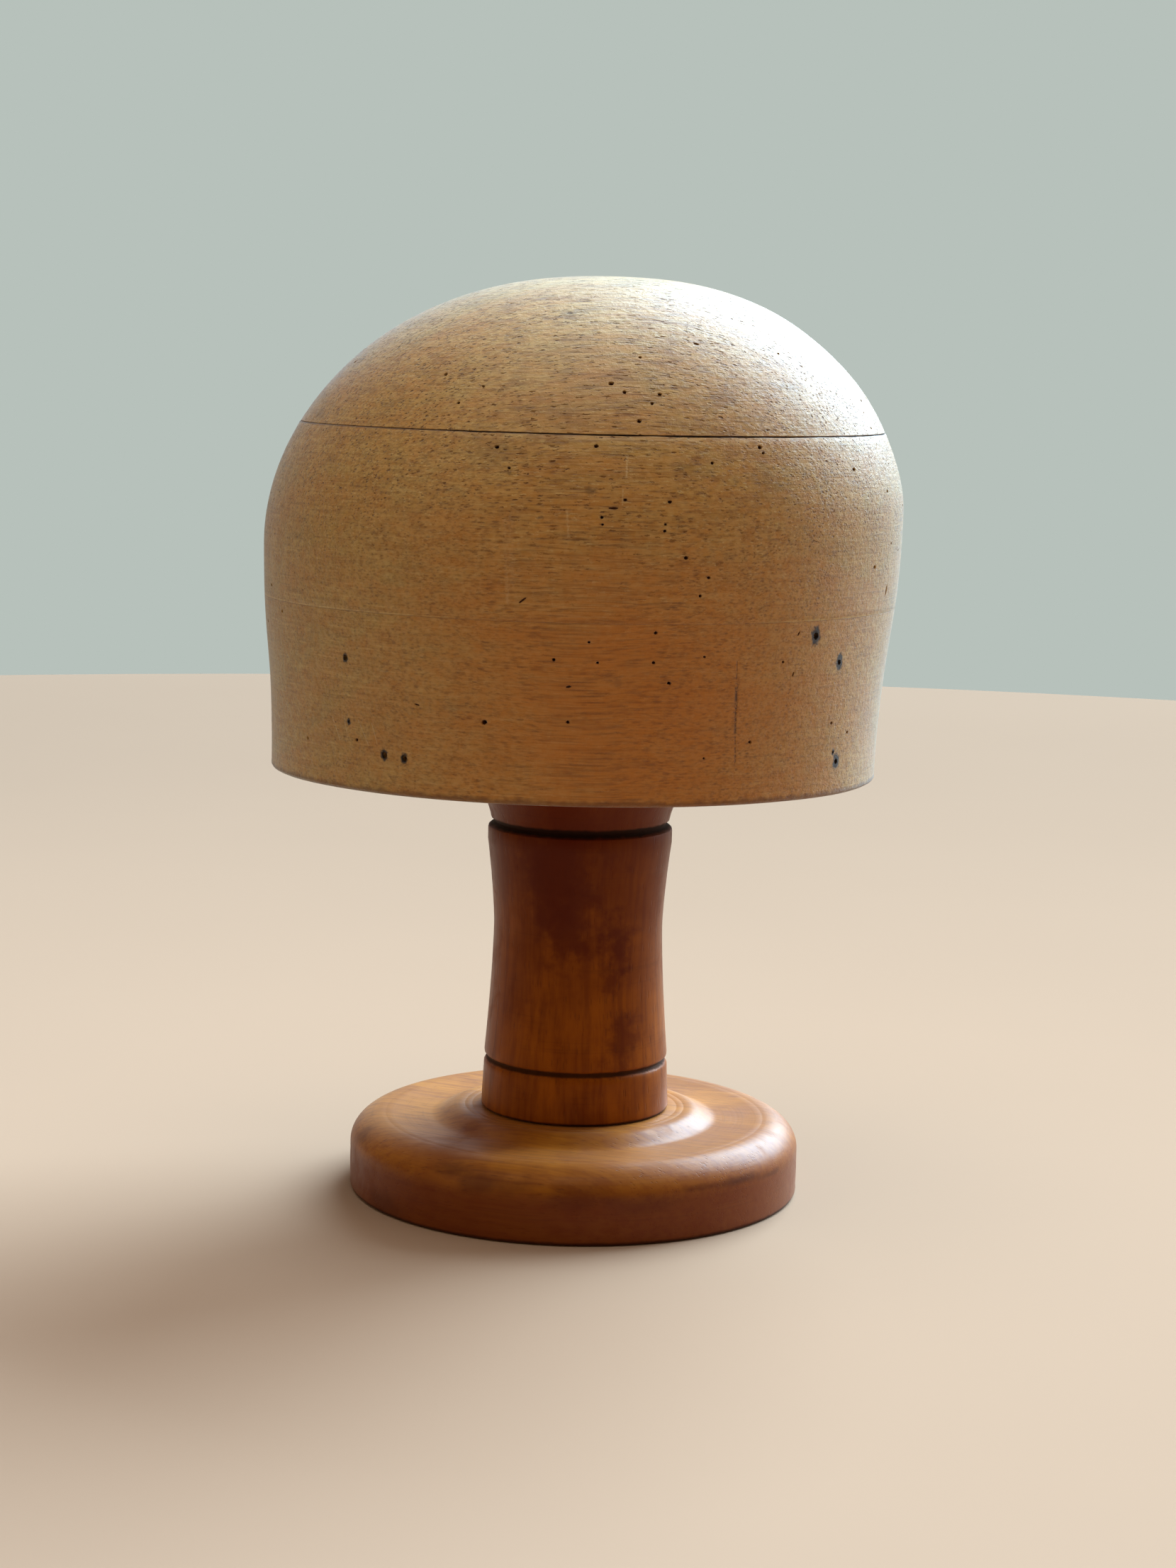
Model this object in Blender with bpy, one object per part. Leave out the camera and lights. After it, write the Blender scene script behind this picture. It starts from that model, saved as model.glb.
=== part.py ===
"""Hat block: a crown of three glued boards that turns and lifts on the peg of a turned stand.

Metres, +Z up. The origin is the centre of the base's underside. The crown's front points along -X,
its nape along +X.
"""
import bmesh
import bpy
from math import cos, pi, radians, sin, sqrt

# Gap between pieces that touch
CLEARANCE = 0.0003

# Base
BASE_RADIUS = 0.0690
BASE_THICKNESS = 0.0250
BASE_BOTTOM_ROUND = 0.0015
RIM_DROP = 0.0026
RIM_ROUND_WIDTH = 0.0105
RIM_ROUND_HEIGHT = 0.0087
DISH_DEPTH = 0.0005
SEAT_MARGIN = 0.0065
COVE_WIDTH = 0.0090

# Column
COLUMN_LENGTH = 0.1044
FOOT_RADIUS = 0.0288
SHAFT_RADIUS = 0.0281
WAIST_RADIUS = 0.0258
WAIST_HEIGHT = 0.0565
WAIST_POWER = 1.5
FOOT_BAND_HEIGHT = 0.0150
HEAD_BAND_HEIGHT = 0.0055
COLLAR_HEIGHT = 0.0165
COLLAR_RADIUS = 0.0330
NECK_RADIUS = 0.0274
FLARE_POWER = 1.3
GROOVE_WIDTH = 0.0026
GROOVE_DEPTH = 0.0011
EDGE_ROUND = 0.0008

# Tenon of the column and the wedge that spreads it
TENON_RADIUS = 0.0127
TENON_RECESS = 0.0005
WEDGE_HEIGHT = 0.0160
WEDGE_THICK_END = 0.0032
WEDGE_THIN_END = 0.0012

# Peg that the crown turns on
PEG_RADIUS = 0.0110
PEG_IN_COLUMN = 0.0450
PEG_IN_CROWN = 0.0380
PEG_CHAMFER = 0.0010
SOCKET_END_SPACE = 0.0060

# Crown
BOARD_THICKNESS = 0.0518
CROWN_HEIGHT = 0.1480
CROWN_SHIFT = -0.0006
APEX_SHIFT = 0.0052
FRONT_REACH = 0.0961
FRONT_REACH_FOOT = 0.0936
FRONT_SHOULDER = 0.0675
NAPE_REACH = 0.0955
NAPE_REACH_FOOT = 0.0894
NAPE_SHOULDER = 0.0813
HALF_WIDTH = 0.0824
HALF_WIDTH_FOOT = 0.0787
SIDE_SHOULDER = 0.0740
OVAL_EGG = 0.04

# Powers of the dome's curve to each side: how long it stays high, and how full its shoulder is
FRONT_DOME = (1.90, 2.21)
NAPE_DOME = (1.69, 2.45)
SIDE_DOME = (1.80, 2.33)

# Fineness of the round faces
STAND_SEGMENTS = 48
CROWN_SEGMENTS = 60
WALL_RINGS = 6
DOME_RINGS = 11
ARC_STEPS = 5
WAIST_STEPS = 6
FLARE_STEPS = 4
SHARP_ANGLE = radians(35)

# How far a cutter runs on past the face that it opens
CUTTER_OVERRUN = 0.01

CROWN_LOW = BASE_THICKNESS + COLUMN_LENGTH + 2 * CLEARANCE
COLUMN_LOW = BASE_THICKNESS + CLEARANCE


def material(name, colour, roughness):
    """A plain wood finish as a Principled BSDF."""
    made = bpy.data.materials.new(name)
    made.use_nodes = True
    shader = made.node_tree.nodes["Principled BSDF"]
    shader.inputs["Base Color"].default_value = (*colour, 1.0)
    shader.inputs["Roughness"].default_value = roughness
    shader.inputs["Metallic"].default_value = 0.0
    return made


def place(name, mesh, height, finish, parent=None):
    """An object of the mesh on the stand's axis, at the given height."""
    piece = bpy.data.objects.new(name, mesh)
    bpy.context.scene.collection.objects.link(piece)
    piece.location.z = height
    mesh.materials.append(finish)
    mesh.shade_smooth()
    mesh.set_sharp_from_angle(angle=SHARP_ANGLE)
    if parent:
        bpy.context.view_layer.update()
        piece.parent = parent
        piece.matrix_parent_inverse = parent.matrix_world.inverted()
    return piece


def turned(name, profile, height, finish, closed=False, parent=None):
    """A piece turned about Z from (radius, height) points that run down its outer side."""
    mesh = bpy.data.meshes.new(name)
    points = [(radius, 0.0, z) for radius, z in profile]
    edges = [(i, i + 1) for i in range(len(points) - 1)]
    if closed:
        edges.append((len(points) - 1, 0))
    mesh.from_pydata(points, edges, [])
    piece = place(name, mesh, height, finish, parent)
    screw = piece.modifiers.new("turning", "SCREW")
    screw.steps = STAND_SEGMENTS
    screw.render_steps = STAND_SEGMENTS
    screw.use_merge_vertices = True
    screw.merge_threshold = 0.00001
    return piece


def round_corner(centre, across, up, start, end):
    """Points of an elliptical arc about a centre, by angle from +X, both ends included."""
    points = []
    for step in range(ARC_STEPS + 1):
        angle = radians(start + (end - start) * step / ARC_STEPS)
        points.append((centre[0] + across * cos(angle), centre[1] + up * sin(angle)))
    return points


def groove(height, radius_above, radius_below):
    """A V cut with softened lips, from its upper lip down to its lower one."""
    half = GROOVE_WIDTH / 2
    return [
        (radius_above - EDGE_ROUND / 2, height + half),
        (min(radius_above, radius_below) - GROOVE_DEPTH, height),
        (radius_below - EDGE_ROUND / 2, height - half),
        (radius_below, height - half - EDGE_ROUND),
    ]


def column_profile():
    """Down the column's outside from its blind bore to the tenon's end, foot at height 0."""
    bore = PEG_RADIUS + CLEARANCE
    collar_low = COLUMN_LENGTH - COLLAR_HEIGHT
    points = [
        (0.0, COLUMN_LENGTH - PEG_IN_COLUMN - CLEARANCE),
        (bore, COLUMN_LENGTH - PEG_IN_COLUMN - CLEARANCE),
        (bore, COLUMN_LENGTH),
        (COLLAR_RADIUS - EDGE_ROUND, COLUMN_LENGTH),
        (COLLAR_RADIUS, COLUMN_LENGTH - EDGE_ROUND),
    ]
    neck_top = collar_low + GROOVE_WIDTH / 2
    flare = COLUMN_LENGTH - 2 * EDGE_ROUND - neck_top
    for step in range(FLARE_STEPS):
        share = 1 - step / FLARE_STEPS
        points.append((NECK_RADIUS + (COLLAR_RADIUS - NECK_RADIUS) * share ** FLARE_POWER,
                       neck_top + flare * share))
    points += groove(collar_low, NECK_RADIUS, SHAFT_RADIUS)
    shoulder = collar_low - HEAD_BAND_HEIGHT
    foot_lip = FOOT_BAND_HEIGHT + GROOVE_WIDTH / 2 + EDGE_ROUND
    for low, high in ((WAIST_HEIGHT, shoulder), (foot_lip, WAIST_HEIGHT)):
        for step in range(WAIST_STEPS):
            height = high + (low - high) * step / WAIST_STEPS
            end = shoulder if height > WAIST_HEIGHT else foot_lip
            bend = ((height - WAIST_HEIGHT) / (end - WAIST_HEIGHT)) ** WAIST_POWER
            points.append((WAIST_RADIUS + (SHAFT_RADIUS - WAIST_RADIUS) * bend, height))
    points.append((SHAFT_RADIUS, foot_lip))
    points += groove(FOOT_BAND_HEIGHT, SHAFT_RADIUS, SHAFT_RADIUS)
    points += [
        (FOOT_RADIUS, EDGE_ROUND),
        (FOOT_RADIUS - EDGE_ROUND, 0.0),
        (TENON_RADIUS, 0.0),
        (TENON_RADIUS, TENON_RECESS - COLUMN_LOW),
        (0.0, TENON_RECESS - COLUMN_LOW),
    ]
    return points


def base_profile():
    """Round the base's section, from the mortise's mouth in the seat and down the rim."""
    mortise = TENON_RADIUS + CLEARANCE
    rim_height = BASE_THICKNESS - RIM_DROP
    crease = BASE_RADIUS - RIM_ROUND_WIDTH
    seat = FOOT_RADIUS + SEAT_MARGIN
    floor = rim_height - DISH_DEPTH
    points = [(mortise, BASE_THICKNESS)]
    for step in range(ARC_STEPS + 1):
        share = step / ARC_STEPS
        points.append((seat + COVE_WIDTH * share,
                       floor + (BASE_THICKNESS - floor) * (1 + cos(pi * share)) / 2))
    side_top = rim_height - RIM_ROUND_HEIGHT
    points += round_corner((crease, side_top), RIM_ROUND_WIDTH, RIM_ROUND_HEIGHT, 90, 0)
    points += round_corner((BASE_RADIUS - BASE_BOTTOM_ROUND, BASE_BOTTOM_ROUND),
                           BASE_BOTTOM_ROUND, BASE_BOTTOM_ROUND, 0, -90)
    points.append((mortise, 0.0))
    return points


def peg_profile():
    """Down the peg, with its lower end at height 0."""
    length = PEG_IN_COLUMN + 2 * CLEARANCE + PEG_IN_CROWN
    return [
        (0.0, length),
        (PEG_RADIUS - PEG_CHAMFER, length),
        (PEG_RADIUS, length - PEG_CHAMFER),
        (PEG_RADIUS, PEG_CHAMFER),
        (PEG_RADIUS - PEG_CHAMFER, 0.0),
        (0.0, 0.0),
    ]


def wedge_mesh(name, half_length, low, grow):
    """A wedge that tapers upwards above height 0, swollen by a fit allowance."""
    high = WEDGE_HEIGHT + grow
    low_half = WEDGE_THICK_END / 2 + grow
    high_half = WEDGE_THIN_END / 2 + grow
    shell = bmesh.new()
    corners = []
    for half, z in ((low_half, low), (high_half, high)):
        for x, y in ((-1, -1), (1, -1), (1, 1), (-1, 1)):
            corners.append(shell.verts.new((x * half_length, y * half, z)))
    bmesh.ops.convex_hull(shell, input=corners)
    mesh = bpy.data.meshes.new(name)
    shell.to_mesh(mesh)
    shell.free()
    return mesh


def reach(height, foot, full, shoulder, dome, apex):
    """How far the crown reaches from its own middle, at a height above its underside."""
    if height <= shoulder:
        rise = height / shoulder
        return foot + (full - foot) * rise * rise * (3 - 2 * rise)
    rise = (height - shoulder) / (CROWN_HEIGHT - shoulder)
    return apex + (full - apex) * max(1 - rise ** dome[0], 0.0) ** (1 / dome[1])


def crown_ring(height):
    """The crown's oval outline at a height above its underside."""
    front = reach(height, FRONT_REACH_FOOT, FRONT_REACH, FRONT_SHOULDER, FRONT_DOME, -APEX_SHIFT)
    nape = reach(height, NAPE_REACH_FOOT, NAPE_REACH, NAPE_SHOULDER, NAPE_DOME, APEX_SHIFT)
    side = reach(height, HALF_WIDTH_FOOT, HALF_WIDTH, SIDE_SHOULDER, SIDE_DOME, 0.0)
    middle = CROWN_SHIFT + (nape - front) / 2
    ring = []
    for step in range(CROWN_SEGMENTS):
        angle = 2 * pi * step / CROWN_SEGMENTS
        wide = side * (1 + OVAL_EGG * cos(angle))
        ring.append((middle + (front + nape) / 2 * cos(angle), wide * sin(angle), height))
    return ring


def board(name, heights, origin, finish, parent, domed=False):
    """A crown board skinned over its outlines at rising heights above the crown's underside."""
    shell = bmesh.new()
    rings = []
    for height in heights:
        ring = [shell.verts.new((x, y, z - origin)) for x, y, z in crown_ring(height)]
        rings.append(ring)
    for lower, upper in zip(rings, rings[1:]):
        for i in range(CROWN_SEGMENTS):
            j = (i + 1) % CROWN_SEGMENTS
            shell.faces.new((lower[i], lower[j], upper[j], upper[i]))
    shell.faces.new(list(reversed(rings[0])))
    if domed:
        apex = shell.verts.new((CROWN_SHIFT + APEX_SHIFT, 0.0, CROWN_HEIGHT - origin))
        for i in range(CROWN_SEGMENTS):
            shell.faces.new((rings[-1][i], rings[-1][(i + 1) % CROWN_SEGMENTS], apex))
    else:
        shell.faces.new(rings[-1])
    mesh = bpy.data.meshes.new(name)
    shell.to_mesh(mesh)
    shell.free()
    return place(name, mesh, CROWN_LOW + origin, finish, parent)


def even_heights(low, high, count):
    return [low + (high - low) * step / count for step in range(count + 1)]


def dome_heights(low):
    """Outline heights that crowd towards the apex, where the dome turns flat."""
    heights = []
    for step in range(DOME_RINGS):
        share = step / DOME_RINGS
        heights.append(low + (CROWN_HEIGHT - low) * (1 - (1 - share) ** 2))
    return heights


def cut(piece, cutter):
    """Take a hidden cutter out of a piece."""
    cutter.hide_render = True
    cutter.display_type = "WIRE"
    difference = piece.modifiers.new(cutter.name, "BOOLEAN")
    difference.operation = "DIFFERENCE"
    difference.solver = "EXACT"
    difference.object = cutter


def axis_empty(name, height):
    """A parent on the turning axis."""
    empty = bpy.data.objects.new(name, None)
    bpy.context.scene.collection.objects.link(empty)
    empty.location.z = height
    return empty


def build_stand():
    """The base, the column with its tenon, and the wedge in the tenon."""
    base_finish = material("base_wood", (0.20, 0.085, 0.032), 0.38)
    column_finish = material("column_wood", (0.19, 0.070, 0.026), 0.35)
    wedge_finish = material("wedge_wood", (0.42, 0.25, 0.12), 0.60)
    turned("base", base_profile(), 0.0, base_finish, closed=True)
    column = turned("column", column_profile(), COLUMN_LOW, column_finish)

    kerf_mesh = wedge_mesh("kerf_cutter", TENON_RADIUS + CUTTER_OVERRUN, -TENON_RECESS, CLEARANCE)
    cut(column, place("kerf_cutter", kerf_mesh, TENON_RECESS, wedge_finish))
    half_length = sqrt(TENON_RADIUS ** 2 - (WEDGE_THICK_END / 2) ** 2) - CLEARANCE
    mesh = wedge_mesh("tenon_wedge", half_length, 0.0, 0.0)
    place("tenon_wedge", mesh, TENON_RECESS, wedge_finish)


def build_peg():
    """The peg, with its origin on the turning axis."""
    turning_axis = axis_empty("turning_axis", COLUMN_LOW + COLUMN_LENGTH)
    peg_finish = material("peg_wood", (0.45, 0.30, 0.16), 0.55)
    peg_low = COLUMN_LOW + COLUMN_LENGTH - PEG_IN_COLUMN
    turned("peg", peg_profile(), peg_low, peg_finish, parent=turning_axis)
    return turning_axis


def build_crown(turning_axis):
    """The three boards, the lowest one bored for the peg."""
    lifting_axis = axis_empty("lifting_axis", CROWN_LOW)
    lifting_axis.parent = turning_axis
    lifting_axis.location.z = CLEARANCE
    bpy.context.view_layer.update()
    crown_finish = material("crown_wood", (0.40, 0.235, 0.095), 0.50)

    joint_low = BOARD_THICKNESS
    joint_high = 2 * BOARD_THICKNESS
    bottom = board("crown_board_bottom", even_heights(0.0, joint_low - CLEARANCE, WALL_RINGS),
                   0.0, crown_finish, lifting_axis)
    board("crown_board_middle", even_heights(joint_low, joint_high - CLEARANCE, WALL_RINGS),
          joint_low, crown_finish, lifting_axis)
    board("crown_board_top", dome_heights(joint_high), joint_high, crown_finish,
          lifting_axis, domed=True)

    socket_depth = CLEARANCE + PEG_IN_CROWN + SOCKET_END_SPACE
    socket_radius = PEG_RADIUS + CLEARANCE
    drill_profile = [
        (0.0, socket_depth),
        (socket_radius, socket_depth),
        (socket_radius, -CUTTER_OVERRUN),
        (0.0, -CUTTER_OVERRUN),
    ]
    drill = turned("socket_cutter", drill_profile, CROWN_LOW, crown_finish)
    cut(bottom, drill)


def main():
    for old in list(bpy.data.objects):
        bpy.data.objects.remove(old)
    build_stand()
    build_crown(build_peg())


main()
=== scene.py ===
"""A wooden hat block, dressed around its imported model: the three boards of the crown with the holes
that pins and nails left, the turned column and base, the peg and the wedge, and a plain studio.

Metres, +Z up. The crown's front points along -X and its nape along +X.
"""
import random
from math import cos, pi, radians, sin

import bpy
from mathutils import Matrix, Vector, noise


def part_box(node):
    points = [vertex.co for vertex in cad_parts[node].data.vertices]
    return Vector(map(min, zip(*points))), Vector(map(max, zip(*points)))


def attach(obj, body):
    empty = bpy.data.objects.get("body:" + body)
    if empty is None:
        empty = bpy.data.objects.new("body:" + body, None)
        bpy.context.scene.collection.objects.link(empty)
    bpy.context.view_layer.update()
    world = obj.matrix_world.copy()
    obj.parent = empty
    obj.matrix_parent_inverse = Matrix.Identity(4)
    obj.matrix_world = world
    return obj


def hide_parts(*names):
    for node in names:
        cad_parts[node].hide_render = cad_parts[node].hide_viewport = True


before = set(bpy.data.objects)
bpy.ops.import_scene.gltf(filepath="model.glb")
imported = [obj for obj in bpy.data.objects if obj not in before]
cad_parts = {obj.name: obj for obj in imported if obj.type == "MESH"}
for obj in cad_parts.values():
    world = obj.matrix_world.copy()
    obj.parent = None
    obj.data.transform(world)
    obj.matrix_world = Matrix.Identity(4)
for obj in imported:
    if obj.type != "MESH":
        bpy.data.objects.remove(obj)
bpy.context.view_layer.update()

bl_info = {
    "name": "Hat Block",
    "version": (1, 0, 0),
    "blender": (4, 5, 0),
    "location": "View3D > Sidebar > Hat Block",
    "description": "Models a wooden crown block on its turned stand, ready to render",
    "category": "Add Mesh",
}


def linear(red, green, blue):
    """A screen colour, from 0 to 255, as the linear one that a shader works in."""
    return tuple(((level / 255 + 0.055) / 1.055) ** 2.4 for level in (red, green, blue))


MM = 0.001

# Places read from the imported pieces
BASE_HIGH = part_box("base")[1]
COLUMN_END, COLUMN_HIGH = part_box("column")
PEG_LOW, PEG_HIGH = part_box("peg")
WEDGE_LOW, WEDGE_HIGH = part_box("tenon_wedge")
CROWN_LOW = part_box("crown_board_bottom")[0].z
TIGHT_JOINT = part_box("crown_board_middle")[0].z
OPEN_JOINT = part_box("crown_board_top")[0].z
CROWN_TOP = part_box("crown_board_top")[1].z
CLEARANCE = 0.0003
COLUMN_FOOT = BASE_HIGH.z + CLEARANCE

# Outline of the crown, as the boards were cut to it
CROWN_HEIGHT = CROWN_TOP - CROWN_LOW
CROWN_SHIFT = -0.0006
APEX_SHIFT = 0.0052
OVAL_EGG = 0.04
FRONT_CURVE = {"foot": 0.0936, "full": 0.0961, "shoulder": 0.0675, "dome": (1.90, 2.21), "apex": -APEX_SHIFT}
NAPE_CURVE = {"foot": 0.0894, "full": 0.0955, "shoulder": 0.0813, "dome": (1.69, 2.45), "apex": APEX_SHIFT}
SIDE_CURVE = {"foot": 0.0787, "full": 0.0824, "shoulder": 0.0740, "dome": (1.80, 2.33), "apex": 0.0}
CROWN_SIDES = 300
RING_STEP = 0.0019
DOME_RINGS = 46
DOME_CROWDING = 2.2
TIGHT_EDGE = 0.00003
OPEN_EDGE = 0.00022
CHIP_DEPTH = 0.0012
SOCKET_ROOM = 0.0060
SOCKET_MOUTH = 0.0009

# Sizes of the stand
STAND_SIDES = 160
PEG_SIDES = 96
SHARP = radians(32)
TENON_RADIUS = 0.0127
FOOT_RADIUS = 0.0288
SHAFT_RADIUS = 0.0281
WAIST_RADIUS = 0.0258
WAIST_POWER = 1.5
WAIST_HEIGHT = COLUMN_FOOT + 0.0565
FOOT_GROOVE = COLUMN_FOOT + 0.0153
NECK_GROOVE = COLUMN_HIGH.z - 0.0160
NECK_RADIUS = 0.0273
COLLAR_RADIUS = 0.0330
FLARE_POWER = 1.3
HEAD_BAND = 0.0055
BORE_RADIUS = PEG_HIGH.x + CLEARANCE
SEAT_RADIUS = FOOT_RADIUS + 0.0065
SEAT_RINGS = (0.0316, 0.0338)
COVE_WIDTH = 0.0090
RIM_DROP = 0.0026
RIM_WIDTH = 0.0105
RIM_ROUND = 0.0087
DISH = 0.0005
WEDGE_TIP = 0.0006

# The photograph's camera: its place, how far it looks down and leans, and its focal length in pixels
FRAME_WIDTH = 1659
FRAME_HEIGHT = 2212
CAMERA_PLACE = Vector((0.0021, -0.9335, 0.2615))
CAMERA_DOWN = radians(8.31)
CAMERA_LEAN = radians(1.23)
FOCAL_PIXELS = 4365
SENSOR = 36.0

# Round holes of pins, by pixel of the photograph: across, down, and radius in millimetres
PIN_HOLES = (
    (903, 504, 0.42), (862, 541, 0.62), (881, 553, 0.52), (931, 556, 0.52), (920, 569, 0.46),
    (902, 594, 0.58), (647, 568, 0.44), (682, 545, 0.34), (629, 528, 0.50), (841, 629, 0.60),
    (701, 630, 0.55), (718, 660, 0.40), (1005, 653, 0.46), (1072, 631, 0.62), (1077, 639, 0.36),
    (1205, 662, 0.50), (1229, 604, 0.34), (882, 705, 0.46), (849, 730, 0.42), (850, 740, 0.36),
    (945, 708, 0.50), (939, 740, 0.36), (938, 749, 0.42), (968, 787, 0.56), (1000, 815, 0.44),
    (988, 841, 0.46), (925, 893, 0.46), (831, 906, 0.36), (781, 931, 0.46), (843, 935, 0.36),
    (922, 935, 0.44), (994, 927, 0.36), (1105, 934, 0.38), (944, 964, 0.46), (801, 1019, 0.50),
    (683, 1019, 0.72), (434, 1041, 0.46), (503, 1044, 0.44), (398, 862, 0.44), (1234, 800, 0.50),
    (1173, 1020, 0.44), (1195, 1033, 0.40), (1058, 1047, 0.48), (993, 1070, 0.32), (1098, 499, 0.34),
)
# Slits and dents: across, down, half length and half width in millimetres, and lean in degrees
SLITS = (
    (982, 485, 1.00, 0.38, -22), (865, 717, 1.50, 0.44, 0), (1127, 894, 0.75, 0.26, 60),
    (1119, 951, 0.80, 0.26, 75), (1250, 833, 1.60, 0.50, 84), (588, 994, 1.00, 0.26, -12),
    (737, 847, 1.50, 0.30, 38), (802, 969, 0.90, 0.40, 8),
)
# Nail holes with a black iron stain round them: across, down, hole and stain radius in millimetres
NAIL_HOLES = (
    (487, 928, 0.70, 1.3), (542, 1065, 0.80, 1.5), (570, 1070, 0.85, 1.5), (1151, 897, 0.85, 2.3),
    (1184, 934, 0.62, 2.1), (1175, 1061, 0.36, 0.8), (1179, 1074, 0.62, 2.1), (492, 1018, 0.36, 0.9),
)
# Darker patches in the column's figure: across, down, radius in millimetres, height to width, and strength
COLUMN_BLOTCHES = (
    (795, 1240, 17.0, 1.3, 0.95), (800, 1305, 14.0, 1.3, 0.80), (872, 1335, 8.5, 1.3, 0.85),
    (822, 1342, 4.0, 1.3, 0.60), (862, 1386, 4.0, 1.3, 0.55), (880, 1462, 10.0, 1.3, 0.65),
    (755, 1205, 9.0, 1.3, 0.60), (815, 1160, 14.0, 1.3, 0.75),
)
# Darker patches in the base, drawn out level
BASE_BLOTCHES = (
    (1046, 1664, 15.0, 0.14, 0.70), (1086, 1656, 9.0, 0.16, 0.45), (985, 1676, 10.0, 0.16, 0.40),
    (690, 1668, 16.0, 0.32, 0.50), (640, 1650, 10.0, 0.30, 0.45), (820, 1690, 20.0, 0.25, 0.30),
    (512, 1602, 11.0, 0.40, 0.45), (545, 1700, 14.0, 0.40, 0.35), (915, 1700, 16.0, 0.25, 0.25),
)
# Grey-brown smudges on the crown: across, down, radius in millimetres, and strength
SMUDGES = (
    (833, 692, 3.0, 0.55), (719, 667, 1.6, 0.60), (762, 730, 1.4, 0.55), (807, 443, 5.5, 0.35),
    (787, 580, 7.0, 0.22), (1022, 560, 6.5, 0.30), (1010, 612, 5.0, 0.22), (648, 1000, 9.0, 0.12),
    (872, 963, 3.0, 0.30), (700, 640, 9.0, 0.22),
)
# Dark scratches and a drying check, by pixel: start, end, width in millimetres, and strength
DARK_LINES = (
    ((1083, 506), (1127, 542), 0.32, 0.75), ((1095, 498), (1155, 542), 0.26, 0.70),
    ((1040, 932), (1039, 958), 0.30, 0.60), ((1039, 966), (1038, 1000), 0.85, 1.00),
    ((1038, 1003), (1037, 1034), 0.70, 0.90), ((1037, 1040), (1037, 1080), 0.45, 0.75),
)
# Pale rubs and scratches
PALE_LINES = (
    ((885, 642), (884, 672), 0.60, 0.55), ((879, 690), (878, 712), 0.45, 0.40),
    ((720, 727), (722, 825), 1.60, 0.16), ((469, 1012), (480, 1046), 0.26, 0.50),
    ((485, 1010), (490, 1040), 0.22, 0.45), ((505, 1016), (520, 1052), 0.26, 0.50),
    ((524, 1020), (532, 1050), 0.26, 0.50), ((800, 722), (802, 760), 0.70, 0.35),
    ((712, 733), (716, 850), 1.10, 0.22), ((1215, 724), (1256, 712), 0.26, 0.55),
    ((1205, 873), (1244, 865), 0.24, 0.45),
)
SLIT_DEPTH = 0.0007
NAIL_DEPTH = 0.012
NAIL_LEAN = radians(12)
HOLE_SPACING = 0.005
HOLE_FLOOR = 0.0008
LEAST_DEPTH = 0.0004
HOLE_JITTER = 0.16
JOINT_SPACING = 0.0035
UNSEEN_PINS = 90
UNSEEN_PIN_RADII = (0.24, 0.44)
UNSEEN_NAILS = 5
UNSEEN_NAIL_RADII = (0.45, 0.85)
HOLE_SEED = 14

# Fixed levels of the finishes, by the shader's own names
DRY_WOOD = {
    "Specular IOR Level": 0.36, "Specular Tint": (0.37, 0.70, 1.0, 1.0), "Sheen Weight": 0.34,
    "Sheen Roughness": 0.45, "Sheen Tint": (0.48, 0.80, 1.0, 1.0), "Coat Roughness": 0.42,
}
WAXED_WOOD = {"Sheen Weight": 0.10, "Sheen Roughness": 0.4, "Sheen Tint": (1.0, 0.93, 0.80, 1.0)}
BASE_POLISH = {"Specular IOR Level": 0.20, "Specular Tint": (0.32, 0.70, 1.0, 1.0), "IOR": 1.5}
COLUMN_POLISH = {"Specular IOR Level": 0.30, "Specular Tint": (1.0, 0.88, 0.70, 1.0), "IOR": 1.3}
BASE_ROUGHNESS = 0.47
COLUMN_ROUGHNESS = 0.40
BASE_FIGURE = 22.0
COLUMN_FIGURE = 30.0
GRAIN_ASKEW = (0.0, 0.0, 0.35)
GRAIN_UPRIGHT = (0.0, pi / 2, 0.0)
RING_SHARE = 0.10

# Patterns in the crown's surface, by the inputs of their node groups
LONG_LINES = {"Scale": 1100.0, "Stretch": 0.05, "Share": 0.50, "Size": 0.50}
DASHES = {"Scale": 1400.0, "Stretch": 0.15, "Share": 0.80, "Size": 0.47, "Ragged": 0.0008, "Crowd": 1.4}
PITS = {"Scale": 1000.0, "Stretch": 0.30, "Share": 0.22, "Size": 0.42, "Ragged": 0.0008, "Crowd": 1.6}
GLINTS = {"Scale": 1500.0, "Stretch": 0.13, "Share": 0.62, "Size": 0.46, "Ragged": 0.0008, "Crowd": 1.2}
HANDLED = {"Centre": (0.016, -0.080, 0.146), "Radius": 0.105, "Ragged": 0.7, "Soft": 0.95}
# Pale worn wood about the dome's apex, partly painted light on the top of the dome
WORN_AND_LIT_TOP = {"Centre": (0.0, -0.020, CROWN_TOP), "Radius": 0.085, "Ragged": 0.9, "Soft": 0.9}
AGED = {"Centre": (-0.090, -0.030, 0.170), "Radius": 0.095, "Ragged": 0.8, "Soft": 0.9}

# Colours of marks
# Painted shade along the open joint between the top and middle boards
CRACK_SHADE = linear(72, 34, 18)
IRON_STAIN = linear(34, 22, 20)
SMUDGE = linear(92, 68, 42)
SCRATCH = linear(70, 42, 22)
RUB = linear(226, 196, 140)
BASE_STREAK = linear(74, 28, 6)
HOLE_PAINTED_SHADE = linear(64, 34, 18)
# Painted shade deep in the holes, with the wood's fibre in it
HOLE_FIBRE = linear(112, 70, 36)
FAR_GLOW = linear(188, 192, 196)

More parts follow.
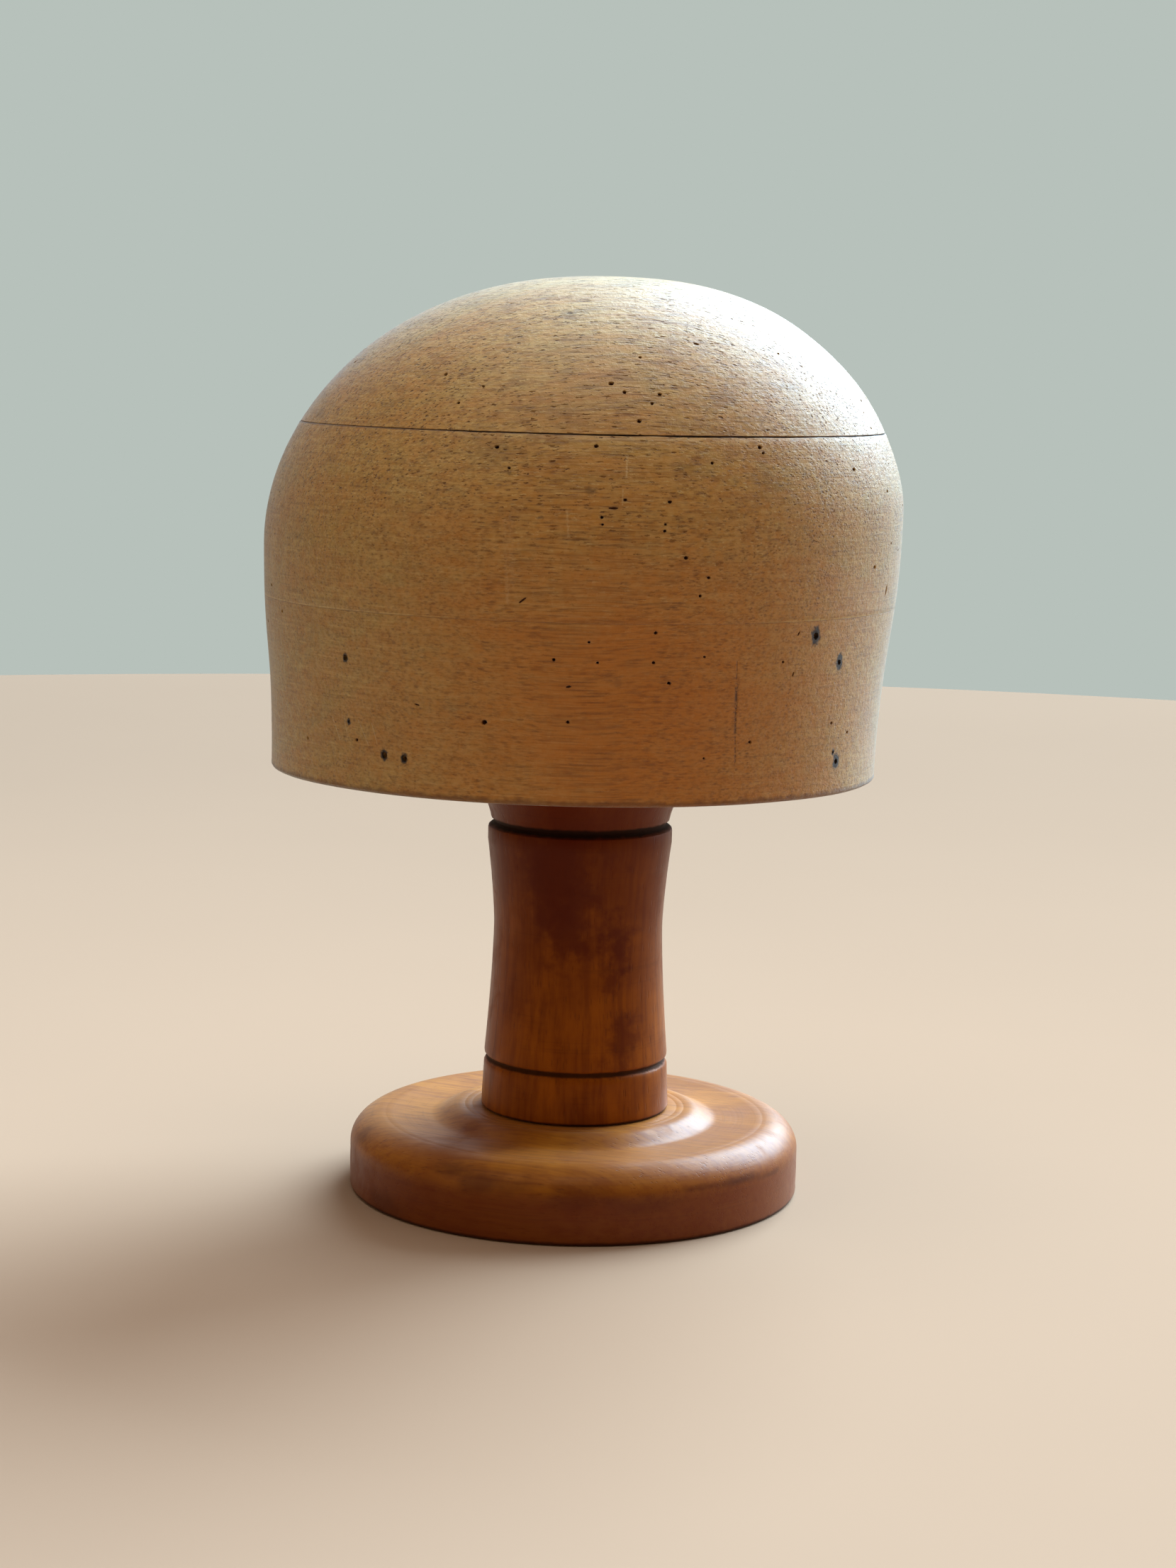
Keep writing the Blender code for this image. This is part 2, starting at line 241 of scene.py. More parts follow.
# Lights: place, the point that they face, width and height, and colour where no setting gives it
LIGHTS = {
    "window": ((4.87, 6.46, 6.08), (0.0, 0.0, 0.20), 8.0, 8.0, None),
    "top": ((-0.05, -0.10, 0.85), (0.0, 0.0, 0.20), 0.5, 0.5, (1.0, 0.95, 0.86)),
    "fill": ((-1.3, -0.9, 0.9), (0.0, 0.0, 0.15), 1.1, 1.1, (1.0, 0.84, 0.62)),
    "side": ((1.55, 0.62, 0.70), (0.0, 0.0, 0.15), 0.7, 1.3, (0.92, 0.97, 1.0)),
}
BRIGHT_SIDE = Vector((0.50, 0.70, 0.51)).normalized()


# Settings

def length(name, text, default):
    return bpy.props.FloatProperty(name=name, description=text, default=default, min=0.0, unit="LENGTH")


def share(name, text, default):
    return bpy.props.FloatProperty(name=name, description=text, default=default, min=0.0, max=1.0,
                                   subtype="FACTOR")


def power(name, text, default):
    return bpy.props.FloatProperty(name=name, description=text, default=default, min=0.0, unit="POWER")


def colour(name, text, default):
    return bpy.props.FloatVectorProperty(name=name, description=text, default=default, size=3,
                                         min=0.0, max=1.0, subtype="COLOR")


class CrownSettings(bpy.types.PropertyGroup):
    """Sizes and colours of the crown."""
    crack: length("Open joint", "Gap between the top and middle boards where it is widest", 0.00030)
    seam: length("Tight joint", "Gap between the middle and bottom boards", 0.00001)
    edge: length("Edge round", "Wear of the bottom edge", 0.0008)
    unevenness: length("Unevenness", "How far the rasped surface strays", 0.00055)
    hole_depth: length("Hole depth", "Depth of a pin's hole", 0.0030)
    wood: colour("Wood", "The bare honey-coloured wood", linear(190, 148, 74))
    warm: colour("Warm wood", "Wood darkened and warmed by handling", linear(182, 102, 4))
    pale: colour("Worn wood", "Dry wood worn pale", linear(220, 192, 126))
    grey: colour("Patina", "Grey-yellow patina of age", linear(157, 135, 74))
    pore: colour("Pores", "Dirt in the pores", linear(92, 52, 15))
    roughness: share("Roughness", "Roughness of the dry, worn finish", 0.46)


class StandSettings(bpy.types.PropertyGroup):
    """Sizes and colours of the column, base, peg and wedge."""
    groove: length("Groove", "Depth of the cut lines", 0.0010)
    column_wood: colour("Column", "Waxed red-brown wood of the column", linear(162, 86, 5))
    column_dark: colour("Column blotches", "Darker red wood in the column", linear(88, 25, 1))
    base_wood: colour("Base", "Waxed chestnut-coloured wood of the base", linear(188, 120, 32))
    base_dark: colour("Base shade", "Darker streaks in the base", linear(112, 46, 8))
    peg_wood: colour("Peg", "Plain turned wood of the peg", linear(186, 146, 98))
    wedge_wood: colour("Wedge", "Sawn wood of the wedge", linear(176, 134, 86))
    # Also the colour of the painted shade in the column's grooves, at its foot and along the base's bottom
    # edge
    dirt: colour("Dirt", "Old wax and dirt in the grooves", linear(30, 14, 8))


class StageSettings(bpy.types.PropertyGroup):
    """The floor and the light."""
    floor_radius: length("Floor radius", "Radius of the round floor", 1.42)
    floor: colour("Floor", "Pale floor", linear(177, 152, 131))
    sky: colour("Backdrop", "Pale backdrop behind the floor", linear(183, 193, 187))
    front: colour("Front glow", "Warm dim light all round the front", linear(214, 165, 104))
    window: colour("Window", "Colour of the soft window light", (0.65, 0.85, 1.0))
    window_power: power("Window power", "Power of the window light", 3860.0)
    top_power: power("Top power", "Power of the light overhead", 2.0)
    side_power: power("Side power", "Power of the light at the right", 4.3)
    fill_power: power("Fill power", "Power of the fill light", 3.0)


# Node helpers. A node is added to the tree that its inputs come from

def fill_inputs(node, inputs):
    """Links or sets a node's inputs, by name or number."""
    for key, value in inputs.items():
        if isinstance(value, bpy.types.NodeSocket):
            node.id_data.links.new(value, node.inputs[key])
        else:
            node.inputs[key].default_value = value


def put(kind, inputs, **settings):
    """Adds a shader node, sets it up and fills its inputs."""
    tree = next(value.id_data for value in inputs.values() if isinstance(value, bpy.types.NodeSocket))
    node = tree.nodes.new("ShaderNode" + kind)
    for name, value in settings.items():
        setattr(node, name, value)
    fill_inputs(node, inputs)
    return node


def calc(operation, *values, clamp=False):
    """Reckons with numbers."""
    return put("Math", dict(enumerate(values)), operation=operation, use_clamp=clamp).outputs[0]


def times(first, second):
    return calc("MULTIPLY", first, second)


def total(first, *others):
    """The sum of levels, each with its share."""
    result = times(*first)
    for level, part in others:
        result = calc("MULTIPLY_ADD", level, part, result)
    return result


def vector_calc(operation, *values):
    outputs = put("VectorMath", dict(enumerate(values)), operation=operation).outputs
    return outputs["Value" if operation in ("LENGTH", "DOT_PRODUCT") else "Vector"]


def scaled(vector, amount):
    return put("VectorMath", {0: vector, "Scale": amount}, operation="SCALE").outputs[0]


def axes(vector):
    """The X, Y and Z of a vector."""
    return put("SeparateXYZ", {"Vector": vector}).outputs


def point(*place):
    """A vector from its X, Y and Z."""
    return put("CombineXYZ", dict(zip("XYZ", place))).outputs[0]


def drawn_out(vector, stretch):
    """A vector squeezed along X, which draws its pattern out along X."""
    return vector_calc("MULTIPLY", vector, point(stretch, 1.0, 1.0))


def ramp(value, low, high, out_low=0.0, out_high=1.0):
    """A smooth step of a value from one level to another."""
    inputs = {"Value": value, "From Min": low, "From Max": high, "To Min": out_low, "To Max": out_high}
    return put("MapRange", inputs, interpolation_type="SMOOTHSTEP").outputs["Result"]


def cloud(vector, scale, detail, roughness=0.5, distortion=0.0, kind="3D", result="Fac"):
    """Soft noise."""
    inputs = {"Vector": vector, "Scale": scale, "Detail": detail, "Roughness": roughness,
              "Distortion": distortion}
    return put("TexNoise", inputs, noise_dimensions=kind).outputs[result]


def fray(vector, scale, detail, roughness, amount):
    """Noise about zero, of a given amount."""
    return times(calc("SUBTRACT", cloud(vector, scale, detail, roughness), 0.5), amount)


def cells(vector, scale):
    """The distance to the nearest of many scattered points, and the numbers drawn for each point."""
    outputs = put("TexVoronoi", {"Vector": vector, "Scale": scale}, feature="F1").outputs
    return outputs["Distance"], put("SeparateColor", {"Color": outputs["Color"]}).outputs


def blend(factor, first, second):
    """Mixes two colours."""
    first, second = [shade if isinstance(shade, bpy.types.NodeSocket) else (*shade, 1.0)
                     for shade in (first, second)]
    return put("Mix", {0: factor, 6: first, 7: second}, data_type="RGBA").outputs[2]


def lay(tint, *layers):
    """Lays shades over a tint in turn, each with its mask and its strength."""
    for where, strength, shade in layers:
        tint = blend(times(where, strength), tint, shade)
    return tint


def use(group, vector, **inputs):
    """Places a node group, with its inputs by name, and returns its outputs."""
    named = {key.replace("_", " "): value for key, value in inputs.items()}
    return put("Group", {"Vector": vector, **named}, node_tree=bpy.data.node_groups[group]).outputs


def mask(group, vector, **inputs):
    return use(group, vector, **inputs)["Mask"]


# Patterns. Each turns a place and some levels into masks, and is kept as a node group

def wood_grain(place, streak_scale, stretch, ring_scale, pore_scale, pore_stretch, pore_share):
    """Wood grain that runs along X: soft streaks, growth rings, and short dark pores."""
    sway = vector_calc("MULTIPLY_ADD", cloud(place, 18.0, 2.0, result="Color"), (0.0, 0.006, 0.006), place)
    streaks = cloud(drawn_out(sway, stretch), streak_scale, 5.0, 0.62)
    _, aside, up = axes(sway)
    squares = [calc("POWER", calc("ADD", *pair), 2.0) for pair in ((aside, 0.05), (up, 0.09))]
    away = calc("SQRT", calc("ADD", *squares))
    saw = calc("FRACT", calc("MULTIPLY_ADD", away, ring_scale, times(cloud(place, 9.0, 1.0), 5.0)))
    distance, dice = cells(drawn_out(sway, pore_stretch), pore_scale)
    return {"Streaks": streaks, "Rings": times(ramp(saw, 0.0, 0.82), ramp(saw, 1.0, 0.90)),
            "Pores": times(calc("LESS_THAN", dice[0], pore_share), ramp(distance, 0.36, 0.16))}


def flecks(place, scale, stretch, part, size, ragged, crowd):
    """Short ragged dashes along X, each of its own size, crowded where a slow cloud is high."""
    rough = cloud(place, 1500.0, 2.0, result="Color")
    push = scaled(vector_calc("SUBTRACT", rough, (0.5, 0.5, 0.5)), ragged)
    distance, dice = cells(drawn_out(vector_calc("ADD", push, place), stretch), scale)
    kept = calc("LESS_THAN", dice[0], calc("ADD", part, fray(place, 80.0, 3.0, 0.5, crowd)))
    wide = times(size, calc("MULTIPLY_ADD", dice[1], 0.65, 0.35))
    return {"Mask": times(kept, ramp(distance, wide, times(wide, 0.35)))}


def turning_marks(place, scale):
    """Faint level rings that a turning tool and the polishing cloth leave about Z."""
    across, aside, up = axes(place)
    away = calc("SQRT", calc("ADD", times(across, across), times(aside, aside)))
    line = cloud(point(away, up, 0.0), scale, 3.0, kind="2D")
    depth = times(calc("SUBTRACT", line, 0.5), ramp(cloud(place, 90.0, 2.0), 0.35, 0.65))
    return {"Rings": calc("ADD", depth, 0.5)}


def blotches(place, scale, low, high, detail):
    """Cloudy patches between two levels of noise, with a finer break-up."""
    return {"Mask": ramp(cloud(place, scale, detail, 0.6, 0.3), low, high)}


def round_mark(place, centre, radius, tall, ragged, soft):
    """A ragged round mark about a point, wide as its radius across and up."""
    offset = vector_calc("SUBTRACT", place, centre)
    squeeze = point(1.0, 1.0, calc("DIVIDE", 1.0, tall))
    away = vector_calc("LENGTH", vector_calc("MULTIPLY", offset, squeeze))
    wobble = fray(place, calc("DIVIDE", 1.6, radius), 5.0, 0.6, ragged)
    return {"Mask": ramp(calc("ADD", calc("DIVIDE", away, radius), wobble), 1.0, calc("SUBTRACT", 1.0, soft))}


def line_mark(place, start, end, width):
    """A straight mark between two points, broken here and there."""
    run = vector_calc("SUBTRACT", end, start)
    offset = vector_calc("SUBTRACT", place, start)
    along = calc("DIVIDE", vector_calc("DOT_PRODUCT", offset, run), vector_calc("DOT_PRODUCT", run, run),
                 clamp=True)
    away = vector_calc("LENGTH", vector_calc("SUBTRACT", offset, scaled(run, along)))
    ragged = cloud(place, 900.0, 3.0)
    strayed = calc("MULTIPLY_ADD", calc("SUBTRACT", ragged, 0.5), times(width, 2.4), away)
    return {"Mask": times(ramp(strayed, width, 0.0), ramp(ragged, 0.34, 0.56))}


def level_band(place, height, half_width, ragged):
    """A level band about a height, with ragged edges, for dirt and painted shade in grooves and joints, and
    for marks along edges.
    """
    away = calc("ABSOLUTE", calc("SUBTRACT", axes(place)["Z"], height))
    wobble = fray(place, 260.0, 3.0, 0.5, ragged)
    return {"Mask": ramp(calc("ADD", calc("DIVIDE", away, half_width), wobble), 1.0, 0.4)}


# Each pattern with its points, its levels and their defaults
PATTERNS = {
    "Wood Grain": (wood_grain, ("Vector",), {
        "Streak Scale": 420.0, "Stretch": 0.045, "Ring Scale": 46.0, "Pore Scale": 1150.0,
        "Pore Stretch": 0.28, "Pore Share": 0.5}),
    "Flecks": (flecks, ("Vector",), {
        "Scale": 900.0, "Stretch": 0.22, "Share": 0.5, "Size": 0.42, "Ragged": 0.0004, "Crowd": 1.0}),
    "Turning Marks": (turning_marks, ("Vector",), {"Scale": 1100.0}),
    "Blotches": (blotches, ("Vector",), {"Scale": 20.0, "Low": 0.45, "High": 0.60, "Detail": 4.0}),
    "Round Mark": (round_mark, ("Vector", "Centre"), {
        "Radius": 0.002, "Tall": 1.0, "Ragged": 0.4, "Soft": 0.5}),
    "Line Mark": (line_mark, ("Vector", "Start", "End"), {"Width": 0.0003}),
    "Level Band": (level_band, ("Vector",), {"Height": 0.0, "Half Width": 0.001, "Ragged": 0.3}),
}


def make_group(name, pattern, points, levels):
    """A node group with named inputs and outputs that holds a pattern."""
    group = bpy.data.node_groups.new(name, "ShaderNodeTree")
    for label in points:
        group.interface.new_socket(label, in_out="INPUT", socket_type="NodeSocketVector")
    for label, default in levels.items():
        socket = group.interface.new_socket(label, in_out="INPUT", socket_type="NodeSocketFloat")
        socket.default_value = default
    given = group.nodes.new("NodeGroupInput").outputs
    results = pattern(*[given[label] for label in (*points, *levels)])
    for label in results:
        group.interface.new_socket(label, in_out="OUTPUT", socket_type="NodeSocketFloat")
    fill_inputs(group.nodes.new("NodeGroupOutput"), results)


# Finishes

def start_material(name, roughness, **levels):
    """A material with its shader, that shader's fixed levels, and the object's own coordinates."""
    made = bpy.data.materials.new(name)
    made.use_nodes = True
    tree = made.node_tree
    shader = tree.nodes["Principled BSDF"]
    fill_inputs(shader, {"Roughness": roughness, **levels})
    return made, shader, tree.nodes.new("ShaderNodeTexCoord").outputs["Object"]


def finish_surface(shader, tint, roughness, height, distance):
    """Wires colour, roughness and relief to the shader."""
    bump = put("Bump", {"Strength": 1.0, "Distance": distance, "Height": height}).outputs["Normal"]
    fill_inputs(shader, {"Base Color": tint, "Roughness": roughness, "Normal": bump})


def crown_material(settings, stains, smudges, scratches):
    """Dry honey-tan hardwood, grain along X, with dirt in its pores and stains round the nail holes, painted
    shade along the open joint, and a pale worn top that is partly painted light.
    """
    made, shader, place = start_material("crown_wood_finish", settings.roughness, **DRY_WOOD)
    warm, pale, grey, pore = settings.warm, settings.pale, settings.grey, settings.pore
    across, _, level = axes(place)
    rise = calc("SUBTRACT", level, CROWN_LOW)
    board = calc("FLOOR", calc("DIVIDE", rise, TIGHT_JOINT - CROWN_LOW))
    own = vector_calc("MULTIPLY_ADD", point(board, 0.0, 0.0), (0.43, 0.0, 0.0), place)

    cloudy = mask("Blotches", place, Scale=17.0, Low=0.40, High=0.62)
    dry = ramp(calc("MULTIPLY_ADD", cloudy, 0.012, level), TIGHT_JOINT - 0.006,
               OPEN_JOINT + 0.004, 0.16, 1.0)
    grain = use("Wood Grain", own, Pore_Scale=820.0, Pore_Stretch=0.34, Pore_Share=0.30)
    fibre = use("Wood Grain", own, Streak_Scale=1500.0, Stretch=0.03)["Streaks"]
    lines = mask("Flecks", own, **LONG_LINES)
    dashes = times(mask("Flecks", own, **DASHES), dry)
    pits = times(mask("Flecks", own, **PITS), dry)
    glints = times(mask("Flecks", place, **GLINTS), dry)
    patches = mask("Blotches", own, Scale=130.0, Low=0.36, High=0.68)
    smeared = vector_calc("MULTIPLY", own, (0.30, 1.0, 1.0))
    smears = times(mask("Blotches", smeared, Scale=330.0, Low=0.46, High=0.74), dry)
    mottle = mask("Blotches", own, Scale=520.0, Low=0.36, High=0.66, Detail=7.0)
    scrapes = cloud(vector_calc("MULTIPLY", place, (0.045, 0.045, 1.0)), 1500.0, 4.0, 0.6)
    handled = mask("Round Mark", place, **HANDLED)
    # worn wood and painted light: the top of the dome paler about the apex
    worn = mask("Round Mark", place, **WORN_AND_LIT_TOP)
    aged = mask("Round Mark", place, **AGED)
    bare = calc("MULTIPLY_ADD", handled, -0.8, 1.0)
    edge = mask("Level Band", place, Height=CROWN_LOW, Half_Width=0.0022, Ragged=1.2)
    # painted shade, dark brown, in a band along the open joint
    crack = mask("Level Band", place, Height=OPEN_JOINT - 0.00012, Half_Width=0.00036, Ragged=1.3)
    seam = mask("Level Band", place, Height=TIGHT_JOINT, Half_Width=0.00030, Ragged=1.4)
    lip = mask("Level Band", place, Height=TIGHT_JOINT + 0.0003, Half_Width=0.00022, Ragged=3.0)
    ends = ramp(calc("ABSOLUTE", calc("ADD", across, -0.004)), 0.034, 0.062)

    tint = lay(
        settings.wood, (cloudy, 0.16, warm), (aged, 0.55, grey), (handled, 0.80, warm), (worn, 0.60, pale),
        (times(patches, bare), 0.30, grey), (times(mottle, bare), 0.24, pale), (smears, 0.34, pore),
        (ramp(grain["Streaks"], 0.40, 0.66), 0.22, warm), (ramp(fibre, 0.44, 0.70), 0.46, pore),
        (grain["Rings"], 0.12, warm), (ramp(scrapes, 0.52, 0.70), 0.26, pore),
        (times(ramp(scrapes, 0.46, 0.30), bare), 0.24, pale), (glints, 0.42, pale), (lines, 0.40, pore),
        (grain["Pores"], 0.22, pore), (dashes, 0.66, pore), (pits, 0.78, pore), (edge, 0.6, pore),
        # the crack band lays painted shade along the open joint
        (crack, 0.60, CRACK_SHADE), (seam, 0.16, pore), (times(lip, ends), 0.38, pale))
    for centre, radius in stains:
        stain = mask("Round Mark", place, Centre=centre, Radius=radius, Tall=1.45, Ragged=1.0, Soft=0.45)
        tint = lay(tint, (stain, 0.92, IRON_STAIN))
    for centre, radius, strength in smudges:
        smudge = mask("Round Mark", place, Centre=centre, Radius=radius, Tall=0.6, Ragged=2.0, Soft=0.9)
        tint = lay(tint, (smudge, strength, SMUDGE))
    scored = 0.0
    for start, end, width, strength, shade in scratches:
        line = mask("Line Mark", place, Start=start, End=end, Width=width)
        tint = lay(tint, (line, strength, shade))
        scored = calc("MAXIMUM", scored, line)

    relief = total((mottle, 0.34), (fibre, 0.16), (scrapes, 0.55), (lines, -0.18), (dashes, -0.46),
                   (pits, -0.70), (glints, 0.22), (grain["Pores"], -0.12), (scored, -0.5))
    broken = calc("MAXIMUM", dashes, pits)
    rough = ramp(grain["Streaks"], 0.3, 0.7, settings.roughness - 0.05, settings.roughness + 0.08)
    rough = calc("MULTIPLY_ADD", broken, 0.55, rough)
    rough = calc("MULTIPLY_ADD", handled, 0.12, rough, clamp=True)
    polish = times(calc("MULTIPLY_ADD", broken, -0.20, 0.22), bare)
    fill_inputs(shader, {"Coat Weight": polish})
    finish_surface(shader, tint, rough, relief, 0.00028)
    return made


def waxed_material(name, wood, dark, dirt, polish, roughness, turn, figure, shaded, marks, fraying, streak,
                   grime_and_shade_bands):
    """Waxed, turned hardwood whose grain runs along X once the place is turned, with painted shade along its
    height, and level bands of old wax, dirt and painted shade.
    """
    made, shader, place = start_material(name, roughness, **WAXED_WOOD, **polish)
    turned = put("Mapping", {"Vector": place, "Rotation": turn}).outputs[0]
    grain = use("Wood Grain", turned, Streak_Scale=520.0, Stretch=0.035, Ring_Scale=70.0,
                Pore_Scale=1300.0, Pore_Stretch=0.16, Pore_Share=0.34)
    clouds = mask("Blotches", place, Scale=figure, Low=0.40, High=0.58)
    small = mask("Blotches", place, Scale=figure * 3.1, Low=0.45, High=0.66)
    tint = lay(wood, (clouds, 0.34, dark), (small, 0.16, dark),
               (ramp(grain["Streaks"], 0.40, 0.68), 0.40, dark), (grain["Rings"], 0.16, dark),
               # painted shade along the height, between the two levels given as shaded
               (grain["Pores"], 0.22, dirt), (ramp(axes(place)["Z"], *shaded), 0.82, dark))
    for centre, radius, tall, strength in marks:
        patch = mask("Round Mark", place, Centre=centre, Radius=radius, Tall=tall, Ragged=fraying,
                     Soft=0.85)
        tint = lay(tint, (patch, strength, streak))
    grime_and_shade = 0.0
    # level bands: old wax and dirt with painted shade in grooves, painted shade where a piece meets another
    # or the floor
    for height, half, strength in grime_and_shade_bands:
        band = mask("Level Band", place, Height=height, Half_Width=half, Ragged=0.6)
        tint = lay(tint, (band, strength, dirt))
        grime_and_shade = calc("MAXIMUM", grime_and_shade, band)
    rings = use("Turning Marks", place, Scale=1100.0)["Rings"]
    tint = lay(tint, (ramp(rings, 0.50, 0.72), RING_SHARE, dirt))
    relief = total((grain["Pores"], -0.3), (grain["Streaks"], 0.4), (rings, RING_SHARE * 3.2))
    rough = ramp(small, 0.0, 1.0, roughness - 0.05, roughness + 0.07)
    finish_surface(shader, tint, calc("MULTIPLY_ADD", grime_and_shade, 0.4, rough), relief, 0.00010)
    return made


def plain_material(name, wood, dark, roughness):
    """Plain unpolished hardwood, grain upright, for the pieces that the crown and the base hide."""
    made, shader, place = start_material(name, roughness)
    turned = put("Mapping", {"Vector": place, "Rotation": GRAIN_UPRIGHT}).outputs[0]
    grain = use("Wood Grain", turned, Streak_Scale=900.0, Stretch=0.03, Pore_Scale=1800.0,
                Pore_Stretch=0.12, Pore_Share=0.4)
    tint = lay(wood, (ramp(grain["Streaks"], 0.38, 0.66), 0.7, dark), (grain["Pores"], 0.5, dark))
    rough = ramp(grain["Streaks"], 0.3, 0.7, roughness - 0.06, roughness + 0.06)
    finish_surface(shader, tint, rough, grain["Streaks"], 0.00012)
    return made


def hole_painted_shade_material():
    """Painted shade deep in a hole, dark brown, with a little of the wood's fibre in it."""
    made, shader, place = start_material("hole_dirt", 0.85)
    fibre = cloud(place, 1800.0, 3.0)
    tint = blend(ramp(fibre, 0.35, 0.65), HOLE_PAINTED_SHADE, HOLE_FIBRE)
    finish_surface(shader, tint, ramp(fibre, 0.3, 0.7, 0.75, 0.95), fibre, 0.0001)
    return made


# Modelling helpers

def begin(name, add, **size):
    """Adds a primitive with nothing else selected, and opens it in edit mode, all selected."""
    bpy.ops.object.select_all(action="DESELECT")
    add(**size)
    piece = bpy.context.object
    piece.name = name
    piece.data.name = name
    bpy.ops.object.mode_set(mode="EDIT")
    bpy.ops.mesh.select_all(action="SELECT")
    return piece


def close(piece):
    """Merges doubles, turns faces outwards, and goes back to object mode, shaded smooth."""
    bpy.ops.mesh.select_all(action="SELECT")
    bpy.ops.mesh.remove_doubles(threshold=0.000002)
    bpy.ops.mesh.normals_make_consistent(inside=False)
    bpy.ops.object.mode_set(mode="OBJECT")
    bpy.ops.object.shade_smooth_by_angle(angle=SHARP)
    return piece


def smooth(piece):
    """Shades a cut piece smooth again, all but its sharp edges."""
    bpy.ops.object.select_all(action="DESELECT")
    piece.select_set(True)
    bpy.context.view_layer.objects.active = piece
    bpy.ops.object.shade_smooth_by_angle(angle=SHARP)


def turn_piece(name, profile, sides=STAND_SIDES):
    """Turns a piece about Z: one point is drawn out along the profile, and the line is spun."""
    piece = begin(name, bpy.ops.mesh.primitive_plane_add, size=0.001)
    bpy.ops.mesh.merge(type="CENTER")
    radius, height = profile[0]
    bpy.ops.transform.translate(value=(radius, 0.0, height))
    for next_radius, next_height in profile[1:]:
        step = (next_radius - radius, 0.0, next_height - height)
        bpy.ops.mesh.extrude_vertices_move(TRANSFORM_OT_translate={"value": step})
        radius, height = next_radius, next_height
    bpy.ops.mesh.select_all(action="SELECT")
    bpy.ops.mesh.spin(steps=sides, angle=2 * pi, center=(0.0, 0.0, 0.0), axis=(0.0, 0.0, 1.0))
    return close(piece)


def apply_modifier(piece, kind, **settings):
    """Adds a modifier, sets it up and applies it."""
    bpy.context.view_layer.objects.active = piece
    modifier = piece.modifiers.new(kind.lower(), kind)
    for name, value in settings.items():
        setattr(modifier, name, value)
    bpy.ops.object.modifier_apply(modifier=modifier.name)


def carve(piece, cutter):
    """Cuts the cutter out of the piece, and deletes the cutter."""
    apply_modifier(piece, "BOOLEAN", object=cutter, operation="DIFFERENCE", solver="EXACT",
                   material_mode="INDEX")
    bpy.data.objects.remove(cutter)


def hand_over(piece, body, node):
    """Gives a finished piece its body, and hides the imported node that it stands for."""
    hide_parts(node)
    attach(piece, body)


def arc(centre, across, up, start, end, steps):
    """Points of an elliptical arc about a centre, by angle from +X, both ends included."""
    angles = [radians(start + (end - start) * step / steps) for step in range(steps + 1)]
    return [(centre[0] + across * cos(angle), centre[1] + up * sin(angle)) for angle in angles]


# Stand

def base_profile():
    """Round the base's section from the mortise's mouth, over the seat and down the rim."""
    thickness, radius = BASE_HIGH.z, BASE_HIGH.x
    mortise = TENON_RADIUS + CLEARANCE
    rim_height = thickness - RIM_DROP
    floor = rim_height - DISH
    crease = radius - RIM_WIDTH
    points = [(mortise, 0.0006), (mortise, thickness - 0.0005), (mortise + 0.0005, thickness),
              (0.0240, thickness), (0.0290, thickness)]
    for line in SEAT_RINGS:
        points += [(line + aside, thickness - sunk) for aside, sunk in (
            (-0.0005, 0.0), (-0.0002, 0.00006), (0.0, 0.00008), (0.0002, 0.00006), (0.0005, 0.0))]
    for step in range(17):
        done = step / 16
        points.append((SEAT_RADIUS + COVE_WIDTH * done,
                       floor + (thickness - floor) * (1 + cos(pi * done)) / 2))
    dish_start = SEAT_RADIUS + COVE_WIDTH
    for step in range(1, 9):
        points.append((dish_start + (crease - 0.0008 - SEAT_RADIUS - COVE_WIDTH) * step / 8,
                       floor + DISH * (step / 8) ** 2))
    points += [(crease - 0.0006, rim_height - 0.00004), (crease, rim_height - 0.00005)]
    points += arc((crease, rim_height - RIM_ROUND), RIM_WIDTH, RIM_ROUND, 87, 0, 22)
    points += [(radius, 0.0110), (radius + 0.00004, 0.0080), (radius, 0.0050), (radius - 0.00006, 0.0030)]
    points += arc((radius - 0.0015, 0.0015), 0.0015, 0.0015, 0, -90, 6)
    points += [(0.0500, 0.0), (0.0300, 0.0), (mortise + 0.0006, 0.0)]
    return points + points[:1]


